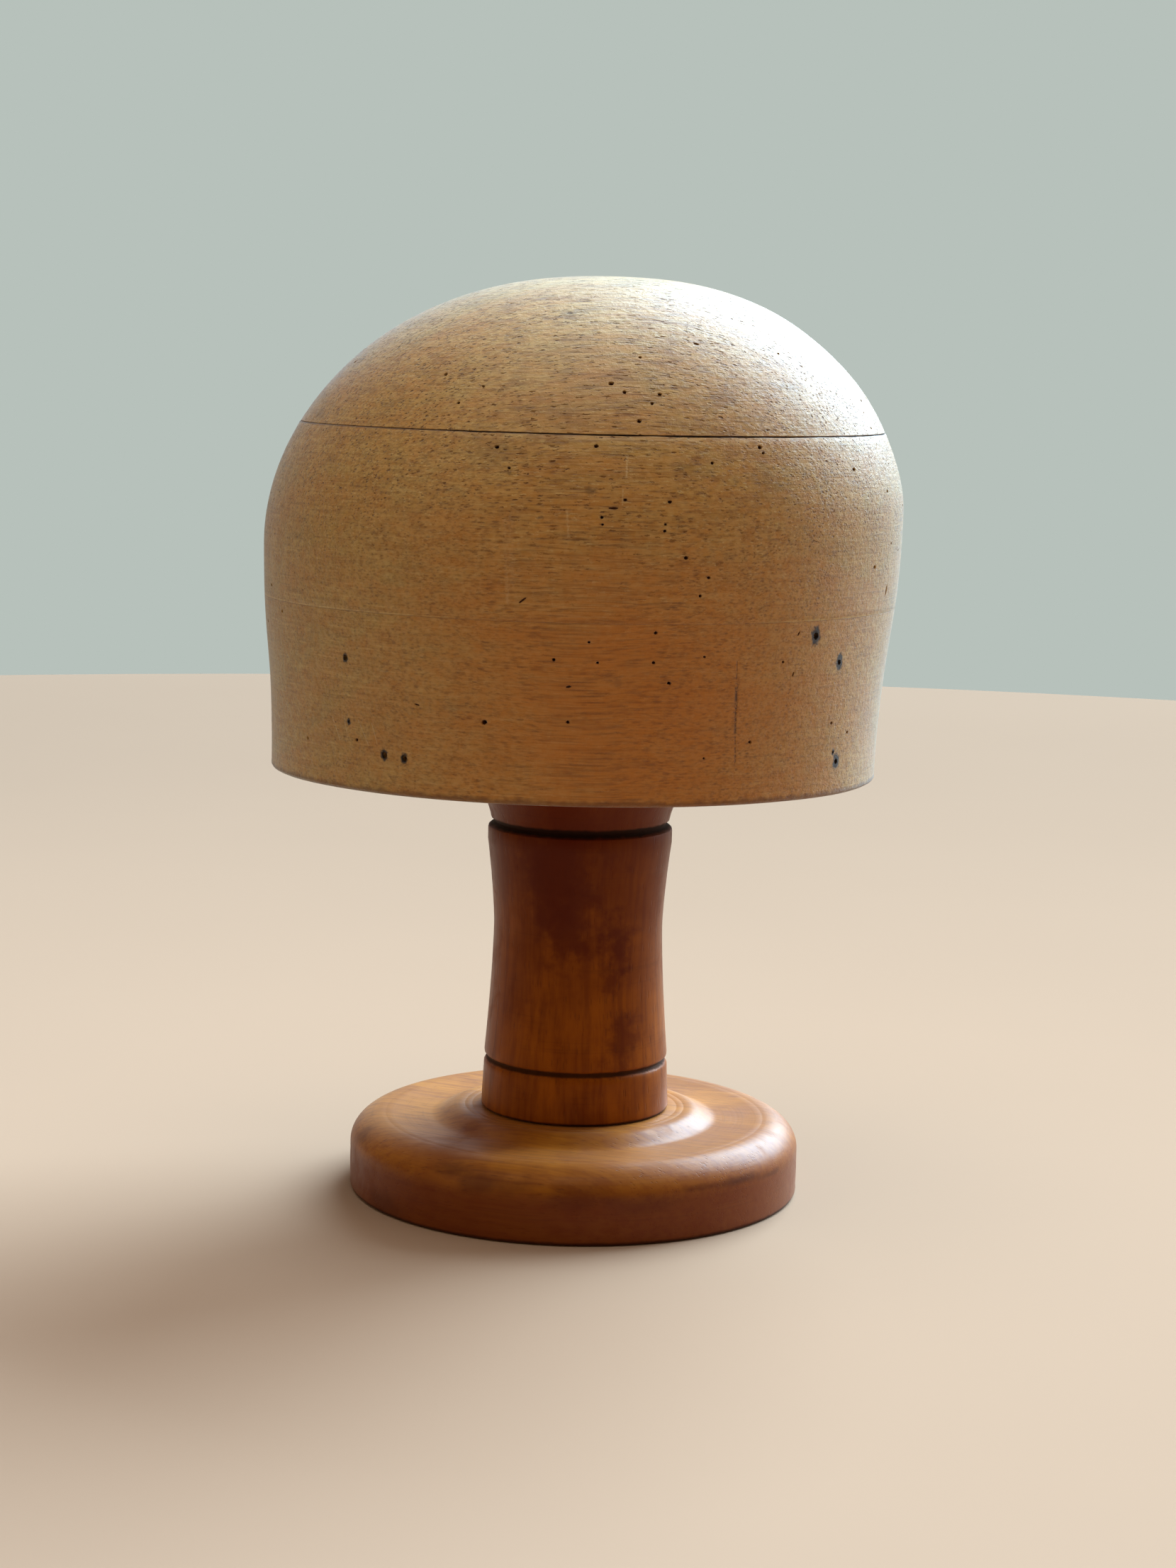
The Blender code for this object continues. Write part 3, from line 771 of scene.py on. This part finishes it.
def column_profile(groove):
    """Down the column's outside from its blind bore to the tenon's end."""
    top = COLUMN_HIGH.z
    bore_floor = PEG_LOW.z - CLEARANCE
    points = [(0.0, bore_floor - 0.0015), (BORE_RADIUS * 0.5, bore_floor - 0.0007), (BORE_RADIUS, bore_floor),
              (BORE_RADIUS, top - 0.0006), (BORE_RADIUS + 0.0006, top)]
    points += arc((COLLAR_RADIUS - 0.0007, top - 0.0007), 0.0007, 0.0007, 90, 0, 5)
    neck_top = NECK_GROOVE + 0.0016
    flare = top - 0.0014 - neck_top
    for step in range(19):
        rise = 1 - step / 18
        points.append((NECK_RADIUS + (COLLAR_RADIUS - NECK_RADIUS) * rise ** FLARE_POWER,
                       neck_top + flare * rise))
    points += [(radius, NECK_GROOVE + rise) for radius, rise in (
        (NECK_RADIUS - 0.00015, 0.0012), (NECK_RADIUS - groove * 0.8, 0.0006), (NECK_RADIUS - groove, 0.0001),
        (NECK_RADIUS - groove * 0.8, -0.0004), (SHAFT_RADIUS - 0.0006, -0.0010),
        (SHAFT_RADIUS - 0.00015, -0.0014), (SHAFT_RADIUS, -0.0020))]
    shoulder = NECK_GROOVE - HEAD_BAND
    foot_lip = FOOT_GROOVE + 0.0020
    for low, high, end in ((WAIST_HEIGHT, shoulder, shoulder), (foot_lip, WAIST_HEIGHT, foot_lip)):
        for step in range(16):
            height = high + (low - high) * step / 16
            bend = ((height - WAIST_HEIGHT) / (end - WAIST_HEIGHT)) ** WAIST_POWER
            points.append((WAIST_RADIUS + (SHAFT_RADIUS - WAIST_RADIUS) * bend, height))
    points += [(SHAFT_RADIUS - sunk, FOOT_GROOVE + rise) for sunk, rise in (
        (0.0, 0.0020), (0.0001, 0.0012), (groove * 0.8, 0.0004), (groove, 0.0), (groove * 0.7, -0.0005),
        (0.0002, -0.0011), (-0.0001, -0.0017))]
    low = COLUMN_FOOT
    for step in range(1, 8):
        fall = step / 8
        points.append((SHAFT_RADIUS + 0.0001 + (FOOT_RADIUS - SHAFT_RADIUS - 0.0001) * fall,
                       FOOT_GROOVE - 0.0017 + (low + 0.0008 - FOOT_GROOVE + 0.0017) * fall))
    points += arc((FOOT_RADIUS - 0.0008, low + 0.0008), 0.0008, 0.0008, 0, -90, 5)
    points += [(TENON_RADIUS, low), (TENON_RADIUS, COLUMN_END.z + 0.0004),
               (TENON_RADIUS - 0.0004, COLUMN_END.z), (0.0, COLUMN_END.z)]
    return points


def peg_profile():
    """Down the peg between its chamfered ends."""
    radius, high, low = PEG_HIGH.x, PEG_HIGH.z, PEG_LOW.z
    points = [(0.0, high), (radius - 0.0012, high), (radius - 0.0003, high - 0.0006), (radius, high - 0.0014)]
    points += [(radius, high + (low - high) * step / 12) for step in range(1, 12)]
    return points + [(radius, low + 0.0010), (radius - 0.0010, low), (0.0, low)]


def wedge_block(name, swell, low):
    """A wedge that tapers upwards, swollen by an allowance."""
    half_length = WEDGE_HIGH.x if not swell else TENON_RADIUS + 0.01
    high = WEDGE_HIGH.z + swell
    piece = begin(name, bpy.ops.mesh.primitive_cube_add, size=1.0)
    bpy.ops.transform.resize(value=(2 * half_length, 2 * (WEDGE_HIGH.y + swell), high - low),
                             center_override=(0.0, 0.0, 0.0))
    bpy.ops.transform.translate(value=(0.0, 0.0, (high + low) / 2))
    bpy.ops.mesh.select_all(action="DESELECT")
    bpy.ops.object.mode_set(mode="OBJECT")
    for face in piece.data.polygons:
        face.select = face.normal.z > 0.5
    for edge in piece.data.edges:
        edge.select = False
    bpy.ops.object.mode_set(mode="EDIT")
    thin = (WEDGE_TIP + swell) / (WEDGE_HIGH.y + swell)
    bpy.ops.transform.resize(value=(1.0, thin, 1.0), center_override=(0.0, 0.0, high))
    if not swell:
        bpy.ops.mesh.select_all(action="SELECT")
        bpy.ops.mesh.bevel(offset=0.00015, segments=2, affect="EDGES")
    return close(piece)


# Crown

def reach(height, foot, full, shoulder, dome, apex):
    """How far the crown reaches from its own middle, at a height above its underside."""
    if height <= shoulder:
        rise = height / shoulder
        return foot + (full - foot) * rise * rise * (3 - 2 * rise)
    rise = min((height - shoulder) / (CROWN_HEIGHT - shoulder), 1.0)
    return apex + (full - apex) * max(1 - rise ** dome[0], 0.0) ** (1 / dome[1])


def outline(level, inset):
    """Middle, half length and half width of the crown at a level, less an inset."""
    front, nape, side = [reach(level - CROWN_LOW, **curve) for curve in (FRONT_CURVE, NAPE_CURVE, SIDE_CURVE)]
    return CROWN_SHIFT + (nape - front) / 2, max((front + nape) / 2 - inset, 1e-5), max(side - inset, 1e-5)


def edge_levels(level, inset, up):
    """Levels and insets of a softened edge, outermost last: up is 1 above the edge and -1 below it."""
    return [(level, inset), (level + up * inset * 0.3, inset * 0.45), (level + up * inset, 0.0)]


def board_levels(low, high, low_edge, high_edge):
    """Levels of a board's rings, with softened edges at both ends."""
    first, last = low + low_edge, high - high_edge
    count = round((last - first) / RING_STEP)
    rings = [(first + (last - first) * step / count, 0.0) for step in range(1, count)]
    return edge_levels(low, low_edge, 1) + rings + edge_levels(high, high_edge, -1)[::-1]


def dome_levels(low, low_edge):
    """Levels of the top board's rings, closer together towards the apex."""
    first = low + low_edge
    shares = [1 - (1 - step / DOME_RINGS) ** DOME_CROWDING for step in range(1, DOME_RINGS)]
    return edge_levels(low, low_edge, 1) + [(first + (CROWN_TOP - first) * part, 0.0) for part in shares]


def shape_board(name, levels, domed=False):
    """Draws a board up from a filled oval, ring by ring."""
    piece = begin(name, bpy.ops.mesh.primitive_circle_add, vertices=CROWN_SIDES, radius=1.0, fill_type="NGON")
    bpy.ops.object.mode_set(mode="OBJECT")
    for corner in piece.data.vertices:
        corner.co.y *= 1 + OVAL_EGG * corner.co.x
    bpy.ops.object.mode_set(mode="EDIT")
    level, inset = levels[0]
    middle, long, wide = outline(level, inset)
    bpy.ops.transform.resize(value=(long, wide, 1.0), center_override=(0.0, 0.0, 0.0))
    bpy.ops.transform.translate(value=(middle, 0.0, level))
    for next_level, next_inset in levels[1:]:
        next_middle, next_long, next_wide = outline(next_level, next_inset)
        step = (next_middle - middle, 0.0, next_level - level)
        bpy.ops.mesh.extrude_region_move(TRANSFORM_OT_translate={"value": step})
        bpy.ops.transform.resize(value=(next_long / long, next_wide / wide, 1.0),
                                 center_override=(next_middle, 0.0, next_level))
        level, middle, long, wide = next_level, next_middle, next_long, next_wide
    if domed:
        step = (CROWN_SHIFT + APEX_SHIFT - middle, 0.0, CROWN_TOP - level)
        bpy.ops.mesh.extrude_region_move(TRANSFORM_OT_translate={"value": step})
        bpy.ops.mesh.merge(type="CENTER")
    return close(piece)


def rasp(piece, amount):
    """Lets the surface stray sideways as hand work leaves it, alike on every board."""
    for axis, grain_size in (("X", 0.045), ("Y", 0.063)):
        unevenness = bpy.data.textures.new("rasped_" + axis, "CLOUDS")
        unevenness.noise_scale = grain_size
        unevenness.noise_depth = 1
        unevenness.noise_basis = "BLENDER_ORIGINAL"
        apply_modifier(piece, "DISPLACE", texture=unevenness, direction=axis, texture_coords="LOCAL",
                       strength=amount * 2, mid_level=0.5)
        bpy.data.textures.remove(unevenness)


def open_gap(place, width):
    """Gap of the open joint at a place: closed at the front, widest past the middle."""
    along = min(max((place.x + 0.085) / 0.095, 0.0), 1.0)
    fade = 1 - 0.35 * min(max((place.x - 0.030) / 0.050, 0.0), 1.0)
    chips = 1 + 0.5 * noise.noise(place * 190) + 0.25 * noise.noise(place * 700)
    return width * fade * chips * along * along * (3 - 2 * along) + TIGHT_EDGE


def settle_crack(piece, width):
    """Lifts the middle board's top face until only the open joint's gap is left, and chips its edge."""
    low_face = OPEN_JOINT - CLEARANCE
    for corner in piece.data.vertices:
        depth = low_face - corner.co.z
        if depth < CHIP_DEPTH:
            near = 1 - max(depth, 0.0) / CHIP_DEPTH
            corner.co.z += (CLEARANCE - open_gap(corner.co, width)) * near
    piece.data.update()


def socket_drill():
    """The shape of the crown's socket, with its eased mouth."""
    high, mouth = PEG_HIGH.z + SOCKET_ROOM, BORE_RADIUS + SOCKET_MOUTH
    return turn_piece("socket_drill", [
        (0.0, high), (BORE_RADIUS, high), (BORE_RADIUS, CROWN_LOW + 0.0007), (mouth, CROWN_LOW - 0.0002),
        (mouth, CROWN_LOW - 0.01), (0.0, CROWN_LOW - 0.01)], PEG_SIDES)


# Marks, placed by the photograph's camera

def camera_matrix():
    """The photograph's camera as a matrix."""
    turn = Matrix.Rotation(pi / 2 - CAMERA_DOWN, 4, "X") @ Matrix.Rotation(CAMERA_LEAN, 4, "Z")
    return Matrix.Translation(CAMERA_PLACE) @ turn


def hit(pieces, origin, direction):
    """The nearest piece that a ray meets, with the place and the outward normal."""
    best = None
    for piece in pieces:
        found, place, normal, _ = piece.ray_cast(origin, direction)
        if found and (best is None or (place - origin).length < (best[1] - origin).length):
            best = (piece, place, normal)
    return best


def hit_pixel(pieces, across, down):
    """What lies behind a pixel of the photograph."""
    seen = Vector(((across - FRAME_WIDTH / 2) / FOCAL_PIXELS, (FRAME_HEIGHT / 2 - down) / FOCAL_PIXELS, -1.0))
    return hit(pieces, CAMERA_PLACE, (camera_matrix().to_3x3() @ seen).normalized())


def find_marks(pieces, marks):
    """Marks given by pixel and radius in millimetres, as places and radii in metres."""
    return [(hit_pixel(pieces, across, down)[1], radius * MM, *rest) for across, down, radius, *rest in marks]


def find_lines(pieces):
    """Scratches, rubs and the drying check, as lines between places on the boards."""
    return [(hit_pixel(pieces, *start)[1], hit_pixel(pieces, *end)[1], width * MM, strength, shade)
            for lines, shade in ((DARK_LINES, SCRATCH), (PALE_LINES, RUB))
            for start, end, width, strength in lines]


def pin_cutter(finishes):
    """The shape that a pin leaves, of radius 1 and depth 1: painted shade below, and a worn mouth in the
    wood.
    """
    piece = begin("pin_shape", bpy.ops.mesh.primitive_cone_add, vertices=12, radius1=0.34, radius2=0.86,
                  depth=0.82, location=(0.0, 0.0, -0.59))
    bpy.ops.mesh.select_all(action="DESELECT")
    bpy.ops.mesh.select_mode(type="FACE")
    bpy.ops.object.mode_set(mode="OBJECT")
    bpy.ops.object.transform_apply(location=True, rotation=True, scale=True)
    for finish in finishes:
        piece.data.materials.append(finish)
    for face in piece.data.polygons:
        face.select = face.normal.z > 0.9
    bpy.ops.object.mode_set(mode="EDIT")
    for rise, grow in ((0.18, 1.36), (0.12, 1.30)):
        bpy.ops.mesh.extrude_region_move(TRANSFORM_OT_translate={"value": (0.0, 0.0, rise)})
        bpy.ops.transform.resize(value=(grow, grow, 1.0), center_override=(0.0, 0.0, 0.0))
    bpy.ops.mesh.select_mode(type="VERT")
    close(piece)
    for face in piece.data.polygons:
        # faces deep in the hole take the painted shade
        face.material_index = 0 if face.center.z > -0.17 else 1
    return piece


def place_cutter(shape, rng, board, place, normal, half_length, half_width, depth, lean):
    """A copy of the pin's shape set into a board, drawn out into a slit where it is longer than wide, and
    made shallower where it would run out through a joint."""
    heights = [corner[2] for corner in board.bound_box]
    room = place.z - min(heights) if normal.z > 0 else max(heights) - place.z
    if abs(normal.z) > 0.02:
        depth = min(depth, max(room - HOLE_FLOOR, LEAST_DEPTH) / abs(normal.z))
    level_way = Vector((0.0, 0.0, 1.0)).cross(normal)
    level_way = level_way.normalized() if level_way.length > 1e-4 else Vector((1.0, 0.0, 0.0))
    along = level_way * cos(lean) + normal.cross(level_way) * sin(lean)
    across = normal.cross(along)
    cutter = shape.copy()
    cutter.data = shape.data.copy()
    bpy.context.scene.collection.objects.link(cutter)
    turn = Matrix((along * half_length, across * half_width, normal * depth)).transposed().to_4x4()
    placed = Matrix.Translation(place) @ turn
    jitter = half_width * HOLE_JITTER
    for corner in cutter.data.vertices:
        corner.co = placed @ corner.co + Vector([rng.uniform(-jitter, jitter) for _ in range(3)])
    return cutter


def wanted_holes(boards, hole_depth, rng):
    """Every pin hole, slit and nail hole as board, place, normal, half length, half width, depth and lean,
    and where iron stained the wood. The unseen ones follow the seen ones, far enough from each other."""
    holes, stains = [], []
    for across, down, radius in PIN_HOLES:
        stretch = rng.uniform(1.0, 1.3)
        deep = hole_depth * rng.uniform(0.4, 1.0)
        holes.append((*hit_pixel(boards, across, down), radius * MM * stretch, radius * MM, deep, 0.0))
    for across, down, half_length, half_width, lean in SLITS:
        holes.append((*hit_pixel(boards, across, down), half_length * MM, half_width * MM, SLIT_DEPTH,
                      radians(lean)))
    for across, down, radius, stain in NAIL_HOLES:
        board, place, normal = hit_pixel(boards, across, down)
        holes.append((board, place, normal, radius * MM, radius * 1.15 * MM, NAIL_DEPTH, NAIL_LEAN))
        stains.append((place, stain * MM))
    middle = Vector((0.0, 0.0, CROWN_LOW + 0.06))
    pins = 0
    while pins < UNSEEN_PINS + UNSEEN_NAILS:
        turn = rng.uniform(-0.12 * pi, 1.12 * pi)
        up = rng.uniform(-0.40, 1.15) if pins < UNSEEN_PINS else rng.uniform(-0.42, -0.20)
        way = Vector((cos(turn), sin(turn), up)).normalized()
        board, place, normal = hit(boards, middle + way * 0.5, -way)
        clear = min(abs(place.z - joint) for joint in (CROWN_LOW, TIGHT_JOINT, OPEN_JOINT)) > JOINT_SPACING
        if not clear or min((place - hole[1]).length for hole in holes) < HOLE_SPACING:
            continue
        if pins < UNSEEN_PINS:
            radius = rng.uniform(*UNSEEN_PIN_RADII) * MM
            holes.append((board, place, normal, radius * rng.uniform(1.0, 1.6), radius, hole_depth,
                          rng.uniform(-0.3, 0.3)))
        else:
            radius = rng.uniform(*UNSEEN_NAIL_RADII) * MM
            holes.append((board, place, normal, radius, radius * 1.1, NAIL_DEPTH, 0.0))
            stains.append((place, radius * 2.4))
        pins += 1
    return holes, stains


def prick(boards, hole_depth, finishes):
    """Cuts all holes into the boards, and returns where iron stained the wood."""
    rng = random.Random(HOLE_SEED)
    shape = pin_cutter(finishes)
    holes, stains = wanted_holes(boards, hole_depth, rng)
    for board in boards:
        for finish in finishes:
            board.data.materials.append(finish)
        cutters = [place_cutter(shape, rng, *hole) for hole in holes if hole[0] == board]
        bpy.ops.object.select_all(action="DESELECT")
        for cutter in cutters:
            cutter.select_set(True)
        bpy.context.view_layer.objects.active = cutters[0]
        bpy.ops.object.join()
        carve(board, bpy.context.object)
    bpy.data.objects.remove(shape)
    return stains


# Operators

class HATBLOCK_OT_patterns(bpy.types.Operator):
    """Build the node groups for grain, blotches and marks that the finishes share"""
    bl_idname = "hatblock.patterns"
    bl_label = "Finish Patterns"

    def execute(self, context):
        for name, pattern in PATTERNS.items():
            make_group(name, *pattern)
        return {"FINISHED"}


class HATBLOCK_OT_base(bpy.types.Operator):
    """Turn the round base with its seat, cove and rounded rim"""
    bl_idname = "hatblock.base"
    bl_label = "Base"

    def execute(self, context):
        wood = context.scene.hatblock_stand
        piece = turn_piece("base_turned", base_profile())
        piece.data.materials.append(waxed_material(
            "base_wood_finish", wood.base_wood, wood.base_dark, wood.dirt, BASE_POLISH, BASE_ROUGHNESS,
            # painted shade: the base's side darker towards the bottom
            turn=GRAIN_ASKEW, figure=BASE_FIGURE, shaded=(0.021, 0.011),
            marks=find_marks([piece], BASE_BLOTCHES), fraying=1.3, streak=BASE_STREAK,
            # painted shade along the bottom edge, where the base meets the floor
            grime_and_shade_bands=((0.0, 0.0016, 0.6),)))
        hand_over(piece, "stand", "base")
        return {"FINISHED"}


class HATBLOCK_OT_column(bpy.types.Operator):
    """Turn the waisted column with its collar, cut lines, blind bore and sawn tenon"""
    bl_idname = "hatblock.column"
    bl_label = "Column"

    def execute(self, context):
        wood = context.scene.hatblock_stand
        piece = turn_piece("column_turned", column_profile(wood.groove))
        finish = waxed_material(
            "column_wood_finish", wood.column_wood, wood.column_dark, wood.dirt, COLUMN_POLISH,
            # painted shade: the column darker towards its top, under the crown
            COLUMN_ROUGHNESS, turn=GRAIN_UPRIGHT, figure=COLUMN_FIGURE, shaded=(FOOT_GROOVE, COLUMN_HIGH.z),
            marks=find_marks([piece], COLUMN_BLOTCHES), fraying=2.4, streak=wood.column_dark,
            # old wax and dirt with painted shade in the two grooves, and painted shade where the column meets
            # the base
            grime_and_shade_bands=((NECK_GROOVE + 0.0001, 0.0017, 0.95), (FOOT_GROOVE, 0.0011, 0.85),
                   (COLUMN_FOOT, 0.0010, 0.7)))
        carve(piece, wedge_block("kerf", CLEARANCE, COLUMN_END.z - 0.001))
        smooth(piece)
        piece.data.materials.append(finish)
        hand_over(piece, "stand", "column")
        return {"FINISHED"}


class HATBLOCK_OT_wedge(bpy.types.Operator):
    """Saw the wedge that spreads the tenon"""
    bl_idname = "hatblock.wedge"
    bl_label = "Tenon Wedge"

    def execute(self, context):
        wood = context.scene.hatblock_stand
        piece = wedge_block("wedge_sawn", 0.0, WEDGE_LOW.z)
        piece.data.materials.append(plain_material("wedge_wood_finish", wood.wedge_wood, wood.base_dark, 0.6))
        hand_over(piece, "stand", "tenon_wedge")
        return {"FINISHED"}


class HATBLOCK_OT_peg(bpy.types.Operator):
    """Turn the peg that the crown sits on"""
    bl_idname = "hatblock.peg"
    bl_label = "Peg"

    def execute(self, context):
        wood = context.scene.hatblock_stand
        piece = turn_piece("peg_turned", peg_profile(), PEG_SIDES)
        piece.data.materials.append(plain_material("peg_wood_finish", wood.peg_wood, wood.base_wood, 0.5))
        hand_over(piece, "peg", "peg")
        return {"FINISHED"}


class HATBLOCK_OT_crown(bpy.types.Operator):
    """Shape the three boards of the crown, bore the socket, and prick them with old pin and nail holes"""
    bl_idname = "hatblock.crown"
    bl_label = "Crown Boards"

    def execute(self, context):
        crown = context.scene.hatblock_crown
        low = board_levels(CROWN_LOW, TIGHT_JOINT - crown.seam, crown.edge, TIGHT_EDGE)
        high = board_levels(TIGHT_JOINT, OPEN_JOINT - CLEARANCE, TIGHT_EDGE, OPEN_EDGE)
        boards = (shape_board("crown_bottom", low), shape_board("crown_middle", high),
                  shape_board("crown_top", dome_levels(OPEN_JOINT, OPEN_EDGE), domed=True))
        settle_crack(boards[1], crown.crack)
        for board in boards:
            rasp(board, crown.unevenness)
        carve(boards[0], socket_drill())
        scratches = find_lines(boards)
        smudges = find_marks(boards, SMUDGES)
        holder = bpy.data.materials.new("crown_holder")
        # the second finish paints shade deep in every hole
        stains = prick(boards, crown.hole_depth, (holder, hole_painted_shade_material()))
        finish = crown_material(crown, stains, smudges, scratches)
        for board, node in zip(boards, ("crown_board_bottom", "crown_board_middle", "crown_board_top")):
            board.data.materials[0] = finish
            smooth(board)
            hand_over(board, "crown", node)
        bpy.data.materials.remove(holder)
        return {"FINISHED"}


def lay_floor(radius, shade):
    """A round floor, a little darker in clouds, with painted shade towards the back."""
    bpy.ops.object.select_all(action="DESELECT")
    bpy.ops.mesh.primitive_circle_add(vertices=128, radius=radius, fill_type="NGON")
    floor = bpy.context.object
    floor.name = "floor"
    made, shader, place = start_material("floor_finish", 0.8, **{"Specular IOR Level": 0.0})
    darker, far_shade = [tuple(level * part for level in shade) for part in (0.93, 0.62)]
    laid = blend(cloud(place, 3.0, 3.0), shade, darker)
    # painted shade: the floor darker towards the back
    far = ramp(axes(place)["Y"], -0.2, 1.2, 0.0, 0.45)
    fill_inputs(shader, {"Base Color": blend(far, laid, far_shade)})
    floor.data.materials.append(made)


def add_light(name, place, aim, wide, tall, strength, tint):
    """An area light at a place, facing a point, unseen by the camera itself."""
    lamp = bpy.data.lights.new(name, "AREA")
    lamp.shape = "RECTANGLE"
    lamp.size, lamp.size_y = wide, tall
    lamp.energy = strength
    lamp.color = tint
    light = bpy.data.objects.new(name, lamp)
    bpy.context.scene.collection.objects.link(light)
    light.location = place
    light.rotation_euler = (Vector(aim) - Vector(place)).to_track_quat("-Z", "Y").to_euler()
    light.visible_camera = False


def light_around(scene, stage):
    """Dim light from all round, warm in front and pale behind, with a plain backdrop for the camera."""
    world = bpy.data.worlds.new("studio")
    scene.world = world
    world.use_nodes = True
    tree = world.node_tree
    tree.nodes.clear()
    way = tree.nodes.new("ShaderNodeTexCoord").outputs["Generated"]
    toward = vector_calc("DOT_PRODUCT", way, BRIGHT_SIDE)
    glow = ramp(toward, -0.5, 0.9, 0.12, 1.02)
    tone = blend(ramp(toward, -0.2, 0.7), stage.front, FAR_GLOW)
    lit = put("Background", {"Color": tone, "Strength": glow}).outputs[0]
    seen = tree.nodes.new("ShaderNodeBackground")
    fill_inputs(seen, {"Color": (*stage.sky, 1.0)})
    eye = tree.nodes.new("ShaderNodeLightPath").outputs["Is Camera Ray"]
    mixed = put("MixShader", {0: eye, 1: lit, 2: seen.outputs[0]}).outputs[0]
    put("OutputWorld", {"Surface": mixed})


def set_camera(scene):
    """The photograph's camera, by which the marks were placed too."""
    lens = bpy.data.cameras.new("photo_camera")
    lens.sensor_fit = "VERTICAL"
    lens.sensor_height = SENSOR
    lens.lens = SENSOR * FOCAL_PIXELS / FRAME_HEIGHT
    camera = bpy.data.objects.new("photo_camera", lens)
    scene.collection.objects.link(camera)
    camera.matrix_world = camera_matrix()
    scene.camera = camera


class HATBLOCK_OT_stage(bpy.types.Operator):
    """Lay the pale floor and set the lights, the backdrop and the camera"""
    bl_idname = "hatblock.stage"
    bl_label = "Stage"

    def execute(self, context):
        scene = context.scene
        stage = scene.hatblock_stage
        lay_floor(stage.floor_radius, stage.floor)
        for name, (place, aim, wide, tall, tint) in LIGHTS.items():
            add_light(name + "_light", place, aim, wide, tall, getattr(stage, name + "_power"),
                      tint or stage.window)
        light_around(scene, stage)
        set_camera(scene)
        scene.view_settings.view_transform = "Standard"
        return {"FINISHED"}


class HATBLOCK_PT_panel(bpy.types.Panel):
    """Sizes, colours and steps of the hat block"""
    bl_idname = "HATBLOCK_PT_panel"
    bl_label = "Hat Block"
    bl_space_type = "VIEW_3D"
    bl_region_type = "UI"
    bl_category = "Hat Block"

    def draw(self, context):
        layout = self.layout
        for group, _ in SETTINGS:
            settings = getattr(context.scene, group)
            box = layout.box()
            for name in settings.bl_rna.properties.keys():
                if name not in ("rna_type", "name"):
                    box.prop(settings, name)
        for operator in OPERATORS:
            layout.operator(operator.bl_idname)


OPERATORS = (HATBLOCK_OT_patterns, HATBLOCK_OT_base, HATBLOCK_OT_column, HATBLOCK_OT_wedge, HATBLOCK_OT_peg,
             HATBLOCK_OT_crown, HATBLOCK_OT_stage)
SETTINGS = (("hatblock_crown", CrownSettings), ("hatblock_stand", StandSettings),
            ("hatblock_stage", StageSettings))


def register():
    for name, kind in SETTINGS:
        bpy.utils.register_class(kind)
        setattr(bpy.types.Scene, name, bpy.props.PointerProperty(type=kind))
    for kind in (*OPERATORS, HATBLOCK_PT_panel):
        bpy.utils.register_class(kind)


def unregister():
    for kind in reversed((*OPERATORS, HATBLOCK_PT_panel)):
        bpy.utils.unregister_class(kind)
    for name, kind in reversed(SETTINGS):
        delattr(bpy.types.Scene, name)
        bpy.utils.unregister_class(kind)


def main():
    register()
    steps = bpy.ops.hatblock
    for step in (steps.patterns, steps.base, steps.column, steps.wedge, steps.peg, steps.crown, steps.stage):
        step()


if __name__ == "__main__":
    main()
